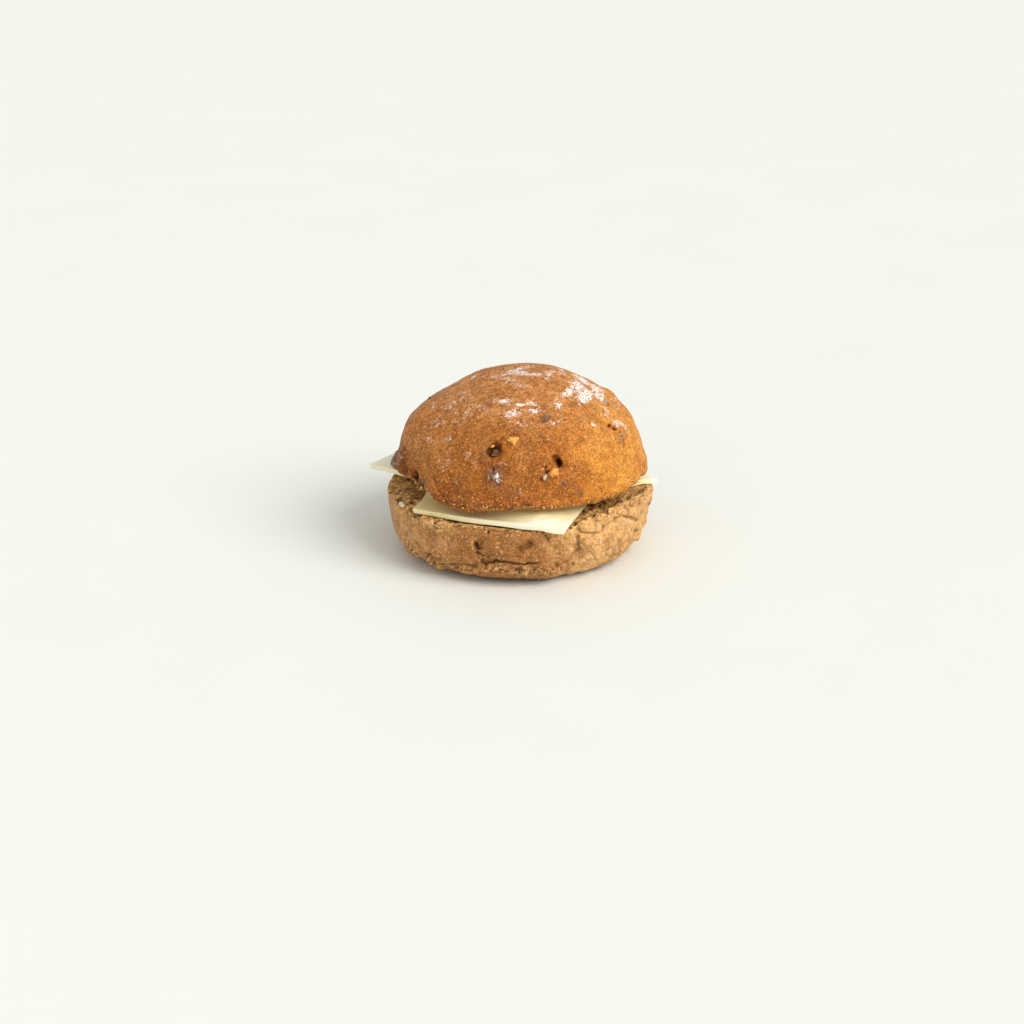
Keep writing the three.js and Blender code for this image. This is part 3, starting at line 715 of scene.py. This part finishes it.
def patches(surface, points, spots):
    """Strength of oval patches at each point."""
    total = np.zeros(len(points))
    for azimuth, level, wide, tall, strength in spots:
        centre, sideways, upward, normal = surface.axes(azimuth, level)
        close = near_box(points, centre[None], 2.2 * max(wide, tall))
        offset = points[close] - centre
        wide, tall = 1.35 * wide, 1.35 * tall
        spread = (offset @ sideways / wide) ** 2 + (offset @ upward / tall) ** 2
        spread += (offset @ normal / max(wide, tall)) ** 2
        total[close] = np.maximum(total[close], strength * np.exp(-(spread**1.1)))
    return total


def flakes(surface, points, spots, seed):
    """Strength of the scabs at each point, and how far their flakes stand up."""
    flaky = noise(points, 0.95, seed) + 0.6 * noise(points, 1.9, seed + 1)
    return patches(surface, points, spots), flaky


def keep_inside(points, node):
    low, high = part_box(node)
    return np.clip(points, np.array(low) / MM, np.array(high) / MM)


def build_crown():
    obj = remeshed_copy("roll_crown", "crown_crust", CROWN_VOXEL)
    mesh = obj.data
    points = evened(read_points(mesh), read_edges(mesh), SMOOTH_ROUNDS)
    write_points(mesh, points)
    normals = read_normals(mesh)
    cut = step(*LEVEL_RANGE, -normals[:, 2]) * step(*CROWN_CUT, points[:, 2])
    surface = Surface(points, normals, cut < 0.15, CROWN_AXIS)
    rim = 4 * cut * (1 - cut)
    lip = (1 - cut) * bell(points[:, 2] - CROWN_LIP, 1.5)
    marks = (CROWN_PITS, CROWN_CRACKS, CROWN_FOLDS, CROWN_RIDGES)
    carved, dark = carve(surface, *marks, SEEDS["crown_crust"])
    crust = 0.13 * layered(points, 6.0, 21, 2) + 0.06 * noise(points, 2.2, 23)
    crust += 0.055 * noise(points, 1.15, 27)
    ragged = raggedness(points, 31)
    pores = holes(points, 2.8, 41) * cut
    height = (1 - cut) * (crust + carved - 0.05) + np.maximum(rim, 0.8 * lip) * 0.42 * ragged
    scabs, flaky = flakes(surface, points, CROWN_SCABS, 55)
    scabs *= 1 - cut
    flecks = step(0.2, 0.45, noise(points, 0.75, 57))
    height += scabs * (0.3 + 0.9 * flaky)
    points = points + normals * height[:, None]
    points[:, 2] += pores * 0.75 * (1 - rim)
    write_points(mesh, keep_inside(points, "roll_crown"))

    high = step(46.0, 60.0, points[:, 2])
    left = step(-8.0, -40.0, points[:, 0])
    right = step(4.0, 34.0, points[:, 0])
    low = step(42.0, 30.0, points[:, 2])
    torn_middle = surface.points[surface.at(*CROWN_TORN)]
    torn_area = bell(np.linalg.norm(points - torn_middle, axis=1), 6.0)
    # More golden on the right: partly the crust's own colour, partly painted light on the side the
    # light falls on. Less golden low on the left: painted shade away from the light.
    golden = 0.32 + 0.42 * right - 0.08 * high - 0.16 * low * (1 - right)
    golden += 0.15 * layered(points, 15.0, 51, 3)
    veil = 0.12 + 0.5 * high + 0.42 * left * step(34.0, 46.0, points[:, 2])
    veil += 0.2 * noise(points, 8.0, 53)
    flour = patches(surface, points, CROWN_FLOUR)
    flour *= 0.9 + 0.5 * np.abs(noise(points * (1.0, 1.0, 2.6), 3.6, 63))
    flour = np.maximum(0.98 * flour, 1.1 * scabs * flecks)
    flour += 0.14 * high + 0.15 * left + 0.08 * noise(points, 9.0, 65) - 0.1 * low
    # Painted shade in the low parts between a scab's flakes, mixed into the stains
    stain = 0.85 * scabs * step(0.5, -0.3, flaky)
    stain = np.maximum(patches(surface, points, CROWN_STAINS), stain)
    # Painted shade: a dark line along the crown's torn lower edge, and darkening in its hollows
    # and the cut face's pores
    shadowed = 0.4 * np.maximum(rim, lip) * step(0.4, -0.2, ragged)
    dark = dark * (1 - cut) + 0.9 * pores + shadowed
    crumb = cut * (1 - rim) + 0.25 * rim + 0.5 * lip * step(0.3, 0.8, ragged) + 0.4 * torn_area
    flour *= 1 - cut
    add_values(mesh, tone=golden, veil=veil, flour=flour, stain=stain, dark=dark, crumb=crumb)
    thinned(obj, (cut > 0.9) & (polar(points, CROWN_AXIS)[1] < CROWN_HIDDEN))
    return obj, surface


def build_heel():
    obj = remeshed_copy("roll_heel", "heel_crust", HEEL_VOXEL)
    mesh = obj.data
    points = evened(read_points(mesh), read_edges(mesh), SMOOTH_ROUNDS)
    middle, width, rise = LEFT_RISE
    azimuth, away = polar(points, HEEL_AXIS)
    outward = step(33.0, 41.0, away) * step(12.0, 18.5, points[:, 2])
    points[:, 2] += rise * bell(azimuth - middle, width, 4.0) * outward
    write_points(mesh, points)
    normals = read_normals(mesh)
    cut_height = step(*HEEL_CUT, points[:, 2])
    cut = step(*LEVEL_RANGE, normals[:, 2]) * cut_height
    base = step(1.0, 0.1, points[:, 2])
    surface = Surface(points, normals, (cut < 0.6) & (base < 0.3), HEEL_AXIS)
    marked = (1 - step(0.85, 0.97, normals[:, 2]) * cut_height) * (1 - base)
    rim = 4 * cut * (1 - cut)
    marks = (HEEL_PITS, HEEL_CRACKS, HEEL_FOLDS, HEEL_RIDGES)
    carved, dark = carve(surface, *marks, SEEDS["heel_crust"])
    right = step(6.0, 30.0, azimuth) * step(150.0, 100.0, azimuth)
    rear = step(70.0, 100.0, np.abs(azimuth))
    low = step(9.5, 4.0, points[:, 2])
    shaggy = np.maximum(right, low * bell(azimuth - 8, 20.0, 4.0))
    slanted = np.stack([points[:, 0] + 0.4 * points[:, 2], points[:, 1], 0.7 * points[:, 2]], 1)
    tears = np.clip(1 - 3.4 * np.abs(layered(slanted, 10.0, 75, 2, 0.4)), 0, 1)
    wrinkles = layered(points * (1.0, 1.0, 2.4), 9.0, 71, 2)
    wrinkles = np.clip(1 - 4.5 * np.abs(wrinkles), 0, 1)
    band = bell(azimuth + 43, 10.0, 4.0) * step(17.0, 19.0, points[:, 2])
    relief = (0.14 + 0.22 * right) * layered(points, 5.4, 77, 2)
    relief += 0.07 * noise(points, 2.2, 78)
    relief += 0.07 * noise(points, 1.1, 79)
    relief += 0.34 * right * noise(points, 7.0, 74)
    relief -= (0.3 * right + 0.06) * tears + 0.25 * rear * wrinkles
    relief += shaggy * (0.22 * noise(slanted, 1.9, 88) + 0.16 * noise(points, 1.1, 89))
    relief += 0.35 * low * np.maximum(noise(points, 2.4, 90), -0.2)
    ragged = raggedness(points, 81)
    pores = holes(points, 3.0, 85) * cut
    wall = (1 - cut) * (1 - base)
    scabs, flaky = flakes(surface, points, HEEL_SCABS, 155)
    height = wall * (relief - 0.03) + marked * carved + np.maximum(0.5 * rim, 0.75 * band) * ragged
    height += scabs * (0.2 + 0.9 * flaky) * (1 - base)
    points = points + normals * height[:, None]
    points[:, 2] -= pores * 0.9 * (1 - rim)
    inward = step(30.0, 38.0, away) * bell(azimuth - 52, 24.0, 4.0) * cut
    points[:, 2] += inward * (0.9 + 1.5 * noise(points, 2.6, 86) + 0.8 * noise(points, 1.3, 87))
    write_points(mesh, keep_inside(points, "roll_heel"))

    golden = 0.32 + 0.4 * right + 0.18 * layered(points, 11.0, 91, 3)
    golden += 0.35 * bell(azimuth - 32, 8.0) * step(16.0, 19.0, points[:, 2])
    left = step(-22.0, -60.0, azimuth)
    veil = 0.1 + 0.5 * left + 0.12 * low + 0.4 * right + 0.25 * noise(points, 6.0, 92)
    fibres = noise(points * (1.0, 1.0, 0.4), 1.5, 93)
    fibres = np.maximum(shaggy, 0.25) * step(0.05, 0.65, fibres)
    fibres = np.maximum(fibres, 0.6 * low * step(0.1, 0.7, noise(points, 1.8, 95)))
    # Painted shade in the tears, wrinkles and between a scab's flakes
    crease_shade = 0.32 * right * step(0.5, 1.0, tears)
    crease_shade = np.maximum(crease_shade, 0.35 * rear * step(0.4, 1.0, wrinkles))
    crease_shade = np.maximum(crease_shade, 0.9 * scabs * step(0.0, -0.5, flaky))
    edge = bell(rim - 1, 0.7) * (0.5 + 0.5 * step(-0.2, 0.4, ragged))
    golden += 0.5 * band
    flour = (0.1 + 0.62 * fibres) * wall
    # Painted shadow of the crown on the heel's cut face
    shaded = cut * bell(azimuth - 46, 13.0, 4.0) * step(43.0, 39.0, away)
    stain = np.maximum(0.22 * shaggy * step(0.35, 0.9, noise(points, 2.6, 97)), 0.7 * shaded)
    # Painted shade in the hollows, creases and pores, and a darker band at the heel's foot that
    # stands in for its contact shadow
    hollow_shade = np.maximum(marked * dark, wall * crease_shade) + 0.9 * pores
    dark = np.maximum(hollow_shade, 0.8 * step(2.4, 0.4, points[:, 2]))
    torn_crumb = 0.9 * scabs * step(-0.1, 0.4, flaky)
    # Painted light: the cut face's dark crumb tint gives way to the lighter crust colour here
    lit_crumb = 0.6 * bell(azimuth - 76, 17.0, 4.0) * step(36.0, 40.0, away)
    crumb = np.maximum(cut * (1 - lit_crumb) + edge + 0.9 * band, torn_crumb)
    add_values(mesh, tone=golden, veil=veil, flour=flour, stain=stain, dark=dark, crumb=crumb)
    thinned(obj, ((cut > 0.9) & (away < HEEL_HIDDEN)) | ((base > 0.9) & (away < BASE_HIDDEN)))
    return obj, surface


def build_slice(node, name):
    """A slice of cheese with softened edges and a slightly uneven face."""
    seed = SEEDS[name]
    obj = copied(node, name)
    weld = obj.modifiers.new("weld", "WELD")
    weld.merge_threshold = WELD_REACH * MM
    bevel = obj.modifiers.new("bevel", "BEVEL")
    bevel.width = SLICE_BEVEL * MM
    bevel.segments = 2
    bevel.limit_method = "ANGLE"
    bevel.angle_limit = math.radians(SLICE_BEVEL_ANGLE)
    fine = obj.modifiers.new("fine", "SUBSURF")
    fine.subdivision_type = "SIMPLE"
    fine.levels = SLICE_LEVELS
    mesh = baked(obj)
    points = relaxed(read_points(mesh), read_edges(mesh), 3, 0.4)
    write_points(mesh, points)
    normals = read_normals(mesh)
    side = 1 - np.abs(normals[:, 2])
    uneven = 0.05 * noise(points, 9.0, seed) + 0.03 * noise(points, 3.0, seed + 1) - 0.03
    uneven += side * 0.1 * noise(points, 2.0, seed + 2)
    points = points + normals * uneven[:, None]
    write_points(mesh, keep_inside(points, node))
    # Painted shade: the cheese turns golden where the crown covers it and towards the front left
    covered = step(*CROWN_COVER, polar(points, CROWN_AXIS)[1])
    warm = step(-2.0, -30.0, points[:, 0]) * step(0.0, -20.0, points[:, 1])
    add_values(mesh, warm=np.maximum(warm, 0.8 * covered), edge=step(0.2, 0.8, side))
    shade_smooth(mesh)
    return obj


def shard(rng, length, width, thickness, corners):
    """An angular broken bit: the hull of two uneven outlines, with its edges worn."""
    work = bmesh.new()
    for side in (-1, 1):
        for k in range(corners):
            angle = 2 * math.pi * (k + rng.uniform(-0.25, 0.25)) / corners
            reach = rng.uniform(0.85, 1.15) * (1.0 if side < 0 else rng.uniform(0.45, 0.95))
            lift = side * rng.uniform(0.3, 1.0)
            work.verts.new((reach * math.cos(angle), reach * math.sin(angle), lift))
    bmesh.ops.convex_hull(work, input=work.verts)
    loose = [v for v in work.verts if not v.link_faces]
    bmesh.ops.delete(work, geom=loose, context="VERTS")
    edges = {"geom": work.edges[:], "affect": "EDGES"}
    bmesh.ops.bevel(work, **edges, offset=WORN_EDGE, segments=1, profile=0.5)
    bmesh.ops.triangulate(work, faces=work.faces[:])
    bmesh.ops.subdivide_edges(work, edges=[e for e in work.edges if e.calc_length() > 0.3], cuts=3)
    bmesh.ops.triangulate(work, faces=work.faces[:])
    bmesh.ops.recalc_face_normals(work, faces=work.faces[:])
    mesh = bpy.data.meshes.new("shard")
    work.to_mesh(mesh)
    work.free()
    shape = read_array(mesh.vertices, "co", 3).astype(float)
    seed = int(rng.integers(1, 500))
    shape *= (1 + 0.14 * noise(shape, 0.7, seed) + 0.1 * noise(shape, 0.35, seed + 1))[:, None]
    return mesh, shape * np.array([length, width, thickness]) / 2


def placed(surface, shape, azimuth, height, turn, lift):
    """A bit's points laid on the crust, turned about its normal and moved along it."""
    centre, level, upward, normal = surface.axes(azimuth, height)
    angle = math.radians(turn)
    across = level * math.cos(angle) + upward * math.sin(angle)
    along = upward * math.cos(angle) - level * math.sin(angle)
    return centre + shape @ np.array([across, along, normal]) + lift * normal


def joined(name, parts):
    bpy.ops.object.select_all(action="DESELECT")
    for part in parts:
        part.select_set(True)
    bpy.context.view_layer.objects.active = parts[0]
    bpy.ops.object.join()
    parts[0].name = name
    parts[0].data.name = name
    return parts[0]


def add_bit(name, mesh, points, material):
    write_points(mesh, points)
    mesh.materials.append(material)
    return added(name, mesh)


def build_nuts(name, nuts, surface):
    """All the walnut bits of one half of the roll."""
    rng = np.random.default_rng(SEEDS[name])
    parts = []
    for azimuth, height, length, width, thickness, turn, lift, corners, kind in nuts:
        mesh, shape = shard(rng, length, width, thickness, corners)
        points = placed(surface, shape, azimuth, height, turn, lift)
        parts.append(add_bit(name, mesh, points, nut_material(kind)))
    return joined(name, parts)


def build_crumbs(name, runs, surface, material, node):
    """Loose crumbs and torn flakes along the edges of one half of the roll."""
    rng = np.random.default_rng(SEEDS[name])
    parts = []
    for first, last, low, high, count, smallest, largest in runs:
        for _ in range(count):
            share = rng.random()
            azimuth = first + (last - first) * share
            height = low + (high - low) * share + rng.normal() * 0.6
            size = smallest + (largest - smallest) * rng.random() ** 2
            length = size * rng.uniform(1.0, 1.9)
            mesh, shape = shard(rng, length, size, size * rng.uniform(0.5, 0.9), CRUMB_CORNERS)
            points = placed(surface, shape, azimuth, height, rng.uniform(0, 180), 0.1 * size)
            parts.append(add_bit(name, mesh, keep_inside(points, node), material))
    return joined(name, parts)


class Graph:
    """Short hands for making one material's nodes."""

    def __init__(self, name):
        self.material = bpy.data.materials.new(name)
        self.material.use_nodes = True
        self.tree = self.material.node_tree
        self.tree.nodes.clear()
        output = self.add("ShaderNodeOutputMaterial")
        self.shader = self.add("ShaderNodeBsdfPrincipled")
        self.put(output, {"Surface": self.shader.outputs["BSDF"]})
        self.place = self.add("ShaderNodeTexCoord").outputs["Object"]

    def add(self, kind, inputs=None, **settings):
        node = self.tree.nodes.new(kind)
        for key, value in settings.items():
            setattr(node, key, value)
        self.put(node, inputs or {})
        return node

    def put(self, node, inputs):
        """Joins or sets a node's inputs, by their names or numbers."""
        for key, value in inputs.items():
            target = node.inputs[key]
            if isinstance(value, bpy.types.NodeSocket):
                self.tree.links.new(value, target)
            elif isinstance(value, tuple) and len(target.default_value) == 4:
                target.default_value = (*value, 1.0)
            else:
                target.default_value = value

    def finished(self, inputs):
        """The material, once its shader has these inputs."""
        self.put(self.shader, inputs)
        return self.material

    def value(self, name):
        return self.add("ShaderNodeAttribute", attribute_name=name).outputs["Fac"]

    def noise(self, size, detail=3.0, rough=0.55, stretch=(1.0, 1.0, 1.0), twist=0.0):
        """Noise of a wavelength in millimetres."""
        mapping = self.add("ShaderNodeMapping", {"Vector": self.place, "Scale": stretch})
        inputs = {"Vector": mapping.outputs["Vector"], "Scale": 1.0 / (size * MM)}
        inputs |= {"Detail": detail, "Roughness": rough, "Distortion": twist}
        return self.add("ShaderNodeTexNoise", inputs).outputs["Fac"]

    def cells(self, size):
        inputs = {"Vector": self.place, "Scale": 1.0 / (size * MM)}
        return self.add("ShaderNodeTexVoronoi", inputs, feature="F1").outputs["Distance"]

    def math(self, operation, a, b, clamp=False):
        node = self.add("ShaderNodeMath", {0: a, 1: b}, operation=operation, use_clamp=clamp)
        return node.outputs[0]

    def times(self, a, b):
        return self.math("MULTIPLY", a, b)

    def plus(self, a, b):
        return self.math("ADD", a, b)

    def window(self, value, low, high):
        """0 at low and 1 at high, smoothly."""
        inputs = {"Value": value, "From Min": low, "From Max": high}
        node = self.add("ShaderNodeMapRange", inputs, interpolation_type="SMOOTHSTEP")
        return node.outputs["Result"]

    def mottle(self, least, spread, source, low, high):
        """A factor that rises from least by the spread as the source goes from low to high."""
        return self.plus(least, self.times(self.window(source, low, high), spread))

    def ramp(self, value, stops):
        node = self.add("ShaderNodeValToRGB", {"Fac": value})
        ramp = node.color_ramp
        while len(ramp.elements) < len(stops):
            ramp.elements.new(0.5)
        for element, (place, colour) in zip(ramp.elements, stops):
            element.position = place
            element.color = (*colour, 1.0)
        return node.outputs["Color"]

    def blend(self, amount, under, over):
        inputs = {0: amount, 6: under, 7: over}
        return self.add("ShaderNodeMix", inputs, data_type="RGBA").outputs[2]

    def scaled(self, colour, factor):
        inputs = {0: colour, "Scale": factor}
        return self.add("ShaderNodeVectorMath", inputs, operation="SCALE").outputs[0]

    def bump(self, height, strength, distance, under=None):
        inputs = {"Height": height, "Strength": strength, "Distance": distance * MM}
        if under is not None:
            inputs["Normal"] = under
        return self.add("ShaderNodeBump", inputs).outputs["Normal"]


def dimmed(colour, share):
    return tuple(share * c for c in colour)


def crust_material(name, deep, middle, golden, speck, dusty, crumb, flour_colour, grain):
    g = Graph(name)
    drift = g.times(g.math("SUBTRACT", g.noise(7.0, 4.0), 0.5), 0.45)
    colour = g.ramp(g.plus(g.value("tone"), drift), [(0.1, deep), (0.45, middle), (0.85, golden)])
    veil = g.times(g.value("veil"), g.mottle(0.45, 0.75, g.noise(1.7, 4.0, 0.7), 0.4, 0.62))
    colour = g.blend(g.math("MINIMUM", veil, 0.92), colour, dusty)
    shade = g.mottle(0.82, 0.34, g.noise(3.2, 3.0, 0.6), 0.36, 0.64)
    shade = g.times(shade, g.mottle(1 - grain, 2 * grain, g.noise(0.78, 2.0, 0.6), 0.36, 0.64))
    shade = g.times(shade, g.mottle(0.84, 0.32, g.noise(0.42, 1.0, 0.5), 0.38, 0.62))
    colour = g.scaled(colour, shade)
    specks = g.window(g.noise(0.74, 2.0, 0.6, twist=0.3), 0.585, 0.66)
    specks = g.times(specks, g.mottle(0.5, 0.4, g.noise(4.0, 3.0, 0.6), 0.4, 0.6))
    specks = g.times(specks, g.plus(0.9, g.value("veil")))
    colour = g.blend(specks, colour, speck)
    pores = g.window(g.noise(0.85, 2.0, 0.6, twist=0.4), 0.39, 0.31)
    pores = g.times(pores, g.math("SUBTRACT", 0.8, g.times(g.value("veil"), 0.55)))
    colour = g.blend(pores, colour, dimmed(deep, 0.42))
    # Real stains, and painted shade among scab flakes and on the heel's cut face under the crown
    colour = g.blend(g.value("stain"), colour, STAIN_AND_SHADE_COLOUR)
    crumb_tint = g.ramp(g.noise(1.5, 4.0, 0.7), [(0.38, DEEP_CRUMB_COLOUR), (0.6, crumb)])
    colour = g.blend(g.value("crumb"), colour, crumb_tint)
    grains = g.times(g.noise(0.55, 2.0, 0.7), 0.58)
    clumps = g.times(g.noise(1.7, 3.0, 0.65, twist=0.6), 0.42)
    dust = g.plus(grains, clumps)
    reach = g.math("SUBTRACT", 0.655, g.times(g.value("flour"), 0.215))
    powder = g.window(g.math("SUBTRACT", dust, reach), 0.0, 0.075)
    powder = g.math("MULTIPLY", powder, g.plus(0.4, g.times(g.value("flour"), 0.6)), clamp=True)
    colour = g.blend(powder, colour, flour_colour)
    # Painted shade: the dark values darken hollows, cracks, folds, pores, the crown's lower edge
    # and the heel's foot towards near black
    colour = g.blend(g.times(g.value("dark"), 0.94), colour, PAINTED_SHADE_COLOUR)
    gloss = g.plus(0.5, g.times(g.noise(3.0, 3.0), 0.2))
    gloss = g.plus(gloss, g.times(powder, 0.3))
    gloss = g.math("MAXIMUM", gloss, g.times(g.value("crumb"), 0.9))
    gloss = g.math("MINIMUM", gloss, 1.0)
    fine = g.bump(g.noise(0.75, 3.0, 0.65), 0.7, 0.32)
    wide = g.bump(g.noise(1.9, 2.0, 0.5), 0.4, 0.3, fine)
    bump = g.bump(powder, 0.5, 0.1, wide)
    surface = {"Base Color": colour, "Roughness": gloss, "Normal": bump}
    return g.finished(surface | {"Specular IOR Level": 0.14})


def cheese_material():
    g = Graph("cheese_ivory")
    colour = g.ramp(g.noise(14.0, 3.0, 0.5), list(zip((0.3, 0.7), CHEESE_COLOURS)))
    # Painted shade: golden tint where the cheese lies in the crown's shade
    colour = g.blend(g.times(g.value("warm"), 0.85), colour, SHADED_CHEESE)
    streaks = g.window(g.noise(4.0, 3.0, 0.6, stretch=(0.4, 1.0, 1.0)), 0.45, 0.7)
    colour = g.blend(g.times(streaks, 0.25), colour, STREAK_CHEESE)
    colour = g.blend(g.times(g.value("edge"), 0.3), colour, EDGE_CHEESE)
    specks = g.window(g.cells(9.0), 0.05, 0.028)
    colour = g.blend(g.times(specks, 0.75), colour, SPECK_CHEESE)
    gloss = g.plus(0.38, g.times(g.noise(5.0, 3.0), 0.16))
    fine = g.bump(g.noise(0.9, 2.0, 0.5), 0.12, 0.1)
    bump = g.bump(g.noise(4.0, 2.0, 0.5), 0.2, 0.25, fine)
    surface = {"Base Color": colour, "Roughness": gloss, "Normal": bump}
    depth = {"Subsurface Radius": (1.0, 0.75, 0.35), "Subsurface Scale": 2.5 * MM}
    return g.finished(surface | depth | {"Subsurface Weight": 0.3, "Specular IOR Level": 0.3})


# Darker and lighter colour of each kind of bit, and how much flour lies on it
NUT_LOOKS = {
    "dark": ((0.05, 0.014, 0.007), (0.2, 0.068, 0.028), 0.0),
    "golden": ((0.7, 0.27, 0.038), (0.98, 0.54, 0.12), 0.0),
    "tan": ((0.62, 0.21, 0.036), (0.95, 0.42, 0.095), 0.05),
    "pale": ((0.24, 0.13, 0.07), (0.66, 0.47, 0.29), 0.35),
    "cream": ((0.7, 0.55, 0.38), (0.92, 0.8, 0.62), 0.4),
    "olive": ((0.2, 0.15, 0.085), (0.36, 0.29, 0.18), 0.0),
    "dusted": ((0.13, 0.055, 0.026), (0.38, 0.2, 0.105), 0.35),
}
nut_materials = {}


def nut_material(kind):
    if kind in nut_materials:
        return nut_materials[kind]
    dark, light, flour = NUT_LOOKS[kind]
    g = Graph("walnut_" + kind)
    colour = g.ramp(g.noise(1.3, 3.0, 0.6), [(0.36, dark), (0.62, light)])
    veins = g.window(g.noise(0.7, 2.0, 0.6, stretch=(1.0, 1.0, 0.4)), 0.54, 0.66)
    colour = g.blend(g.times(veins, 0.45), colour, dark)
    powder = g.window(g.noise(0.8, 3.0, 0.7), 0.64 - 0.12 * flour, 0.7 - 0.12 * flour)
    colour = g.blend(g.times(powder, min(1.0, 1.6 * flour)), colour, NUT_FLOUR_COLOUR)
    gloss = g.plus(0.36, g.times(g.noise(1.0), 0.3))
    bump = g.bump(g.noise(0.6, 3.0, 0.6), 0.8, 0.3)
    surface = {"Base Color": colour, "Roughness": gloss, "Normal": bump}
    nut_materials[kind] = g.finished(surface | {"Specular IOR Level": 0.2})
    return nut_materials[kind]


def crumb_material():
    dark, light = CRUMB_COLOURS
    g = Graph("crumb_golden")
    colour = g.ramp(g.noise(1.1, 3.0, 0.65), [(0.36, dark), (0.6, light)])
    pores = g.window(g.noise(0.6, 2.0, 0.6), 0.42, 0.33)
    colour = g.blend(g.times(pores, 0.5), colour, dimmed(dark, 0.5))
    bump = g.bump(g.noise(0.6, 3.0, 0.6), 0.6, 0.25)
    return g.finished({"Base Color": colour, "Roughness": 0.8, "Normal": bump})


def floor_material():
    g = Graph("pale_floor")
    tint = g.ramp(g.noise(60.0, 2.0), list(zip((0.3, 0.7), FLOOR_COLOURS)))
    return g.finished({"Base Color": tint, "Roughness": 0.6, "Specular IOR Level": 0.15})


def build_floor():
    signs = ((-1, -1), (1, -1), (1, 1), (-1, 1))
    corners = [(x * FLOOR_REACH, y * FLOOR_REACH, 0) for x, y in signs]
    mesh = bpy.data.meshes.new("floor")
    mesh.from_pydata(corners, [], [(0, 1, 2, 3)])
    mesh.materials.append(floor_material())
    floor = added("floor", mesh)


def aimed(obj, back):
    """Turns an object's back towards a direction."""
    obj.rotation_euler = Vector(back).to_track_quat("Z", "Y").to_euler()


def build_lights():
    sun = bpy.data.lights.new("window_sun", "SUN")
    sun.energy = SUN_STRENGTH
    sun.angle = math.radians(SUN_SPREAD)
    sun.color = SUN_COLOUR
    aimed(added("window_sun", sun), SUN_TOWARDS)
    fill = bpy.data.lights.new("front_fill", "AREA")
    fill.shape = "DISK"
    fill.size = FILL_SIZE
    fill.energy = FILL_POWER
    obj = added("front_fill", fill)
    obj.location = FILL_FROM
    aimed(obj, FILL_FROM)
    world = bpy.data.worlds.new("studio")
    bpy.context.scene.world = world
    world.use_nodes = True
    background = world.node_tree.nodes["Background"]
    background.inputs["Color"].default_value = ROOM_COLOUR
    background.inputs["Strength"].default_value = ROOM_STRENGTH


def build_camera():
    data = bpy.data.cameras.new("photo_camera")
    data.lens = CAMERA_LENS
    data.sensor_width = SENSOR_WIDTH
    data.clip_start = CAMERA_NEAR
    camera = added("photo_camera", data)
    rise = math.radians(CAMERA_ELEVATION)
    back = Vector((0.0, -math.cos(rise), math.sin(rise)))
    camera.location = Vector(CAMERA_TARGET) + back * CAMERA_DISTANCE
    aimed(camera, back)
    bpy.context.scene.camera = camera


def dress(obj, material, slot_name, *nodes):
    if material is not None:
        obj.data.materials.clear()
        obj.data.materials.append(material)
    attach(obj, "root")
    if nodes:
        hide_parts(*nodes)


bpy.context.scene.view_settings.view_transform = "Standard"
build_camera()
build_lights()
build_floor()

crown_look = crust_material(
    "crown_crust",
    deep=(0.25, 0.06, 0.007),
    middle=(0.415, 0.127, 0.009),
    golden=(0.68, 0.275, 0.036),
    speck=(0.76, 0.36, 0.092),
    dusty=(0.6, 0.27, 0.096),
    crumb=(0.72, 0.37, 0.095),
    flour_colour=(0.93, 0.84, 0.76),
    grain=0.22,
)
heel_look = crust_material(
    "heel_crust",
    deep=(0.24, 0.074, 0.015),
    middle=(0.42, 0.158, 0.037),
    golden=(0.85, 0.46, 0.145),
    speck=(0.82, 0.56, 0.27),
    dusty=(0.66, 0.37, 0.165),
    crumb=(0.86, 0.5, 0.17),
    flour_colour=(0.9, 0.72, 0.52),
    grain=0.14,
)
crown, crown_surface = build_crown()
heel, heel_surface = build_heel()
dress(crown, crown_look, "crown_crust", "roll_crown")
dress(heel, heel_look, "heel_crust", "roll_heel")

cheese_look = cheese_material()
dress(build_slice("cheese_rear", "rear_slice"), cheese_look, "cheese", "cheese_rear")
dress(build_slice("cheese_front", "front_slice"), cheese_look, "cheese", "cheese_front")

dress(build_nuts("crown_walnuts", CROWN_NUTS, crown_surface), None, "crown_crust")
dress(build_nuts("heel_walnuts", HEEL_NUTS, heel_surface), None, "heel_crust")
crumb_look = crumb_material()
crumbs = build_crumbs("crown_crumbs", CROWN_CRUMBS, crown_surface, crumb_look, "roll_crown")
dress(crumbs, None, "crown_crust")
crumbs = build_crumbs("heel_crumbs", HEEL_CRUMBS, heel_surface, crumb_look, "roll_heel")
dress(crumbs, None, "heel_crust")
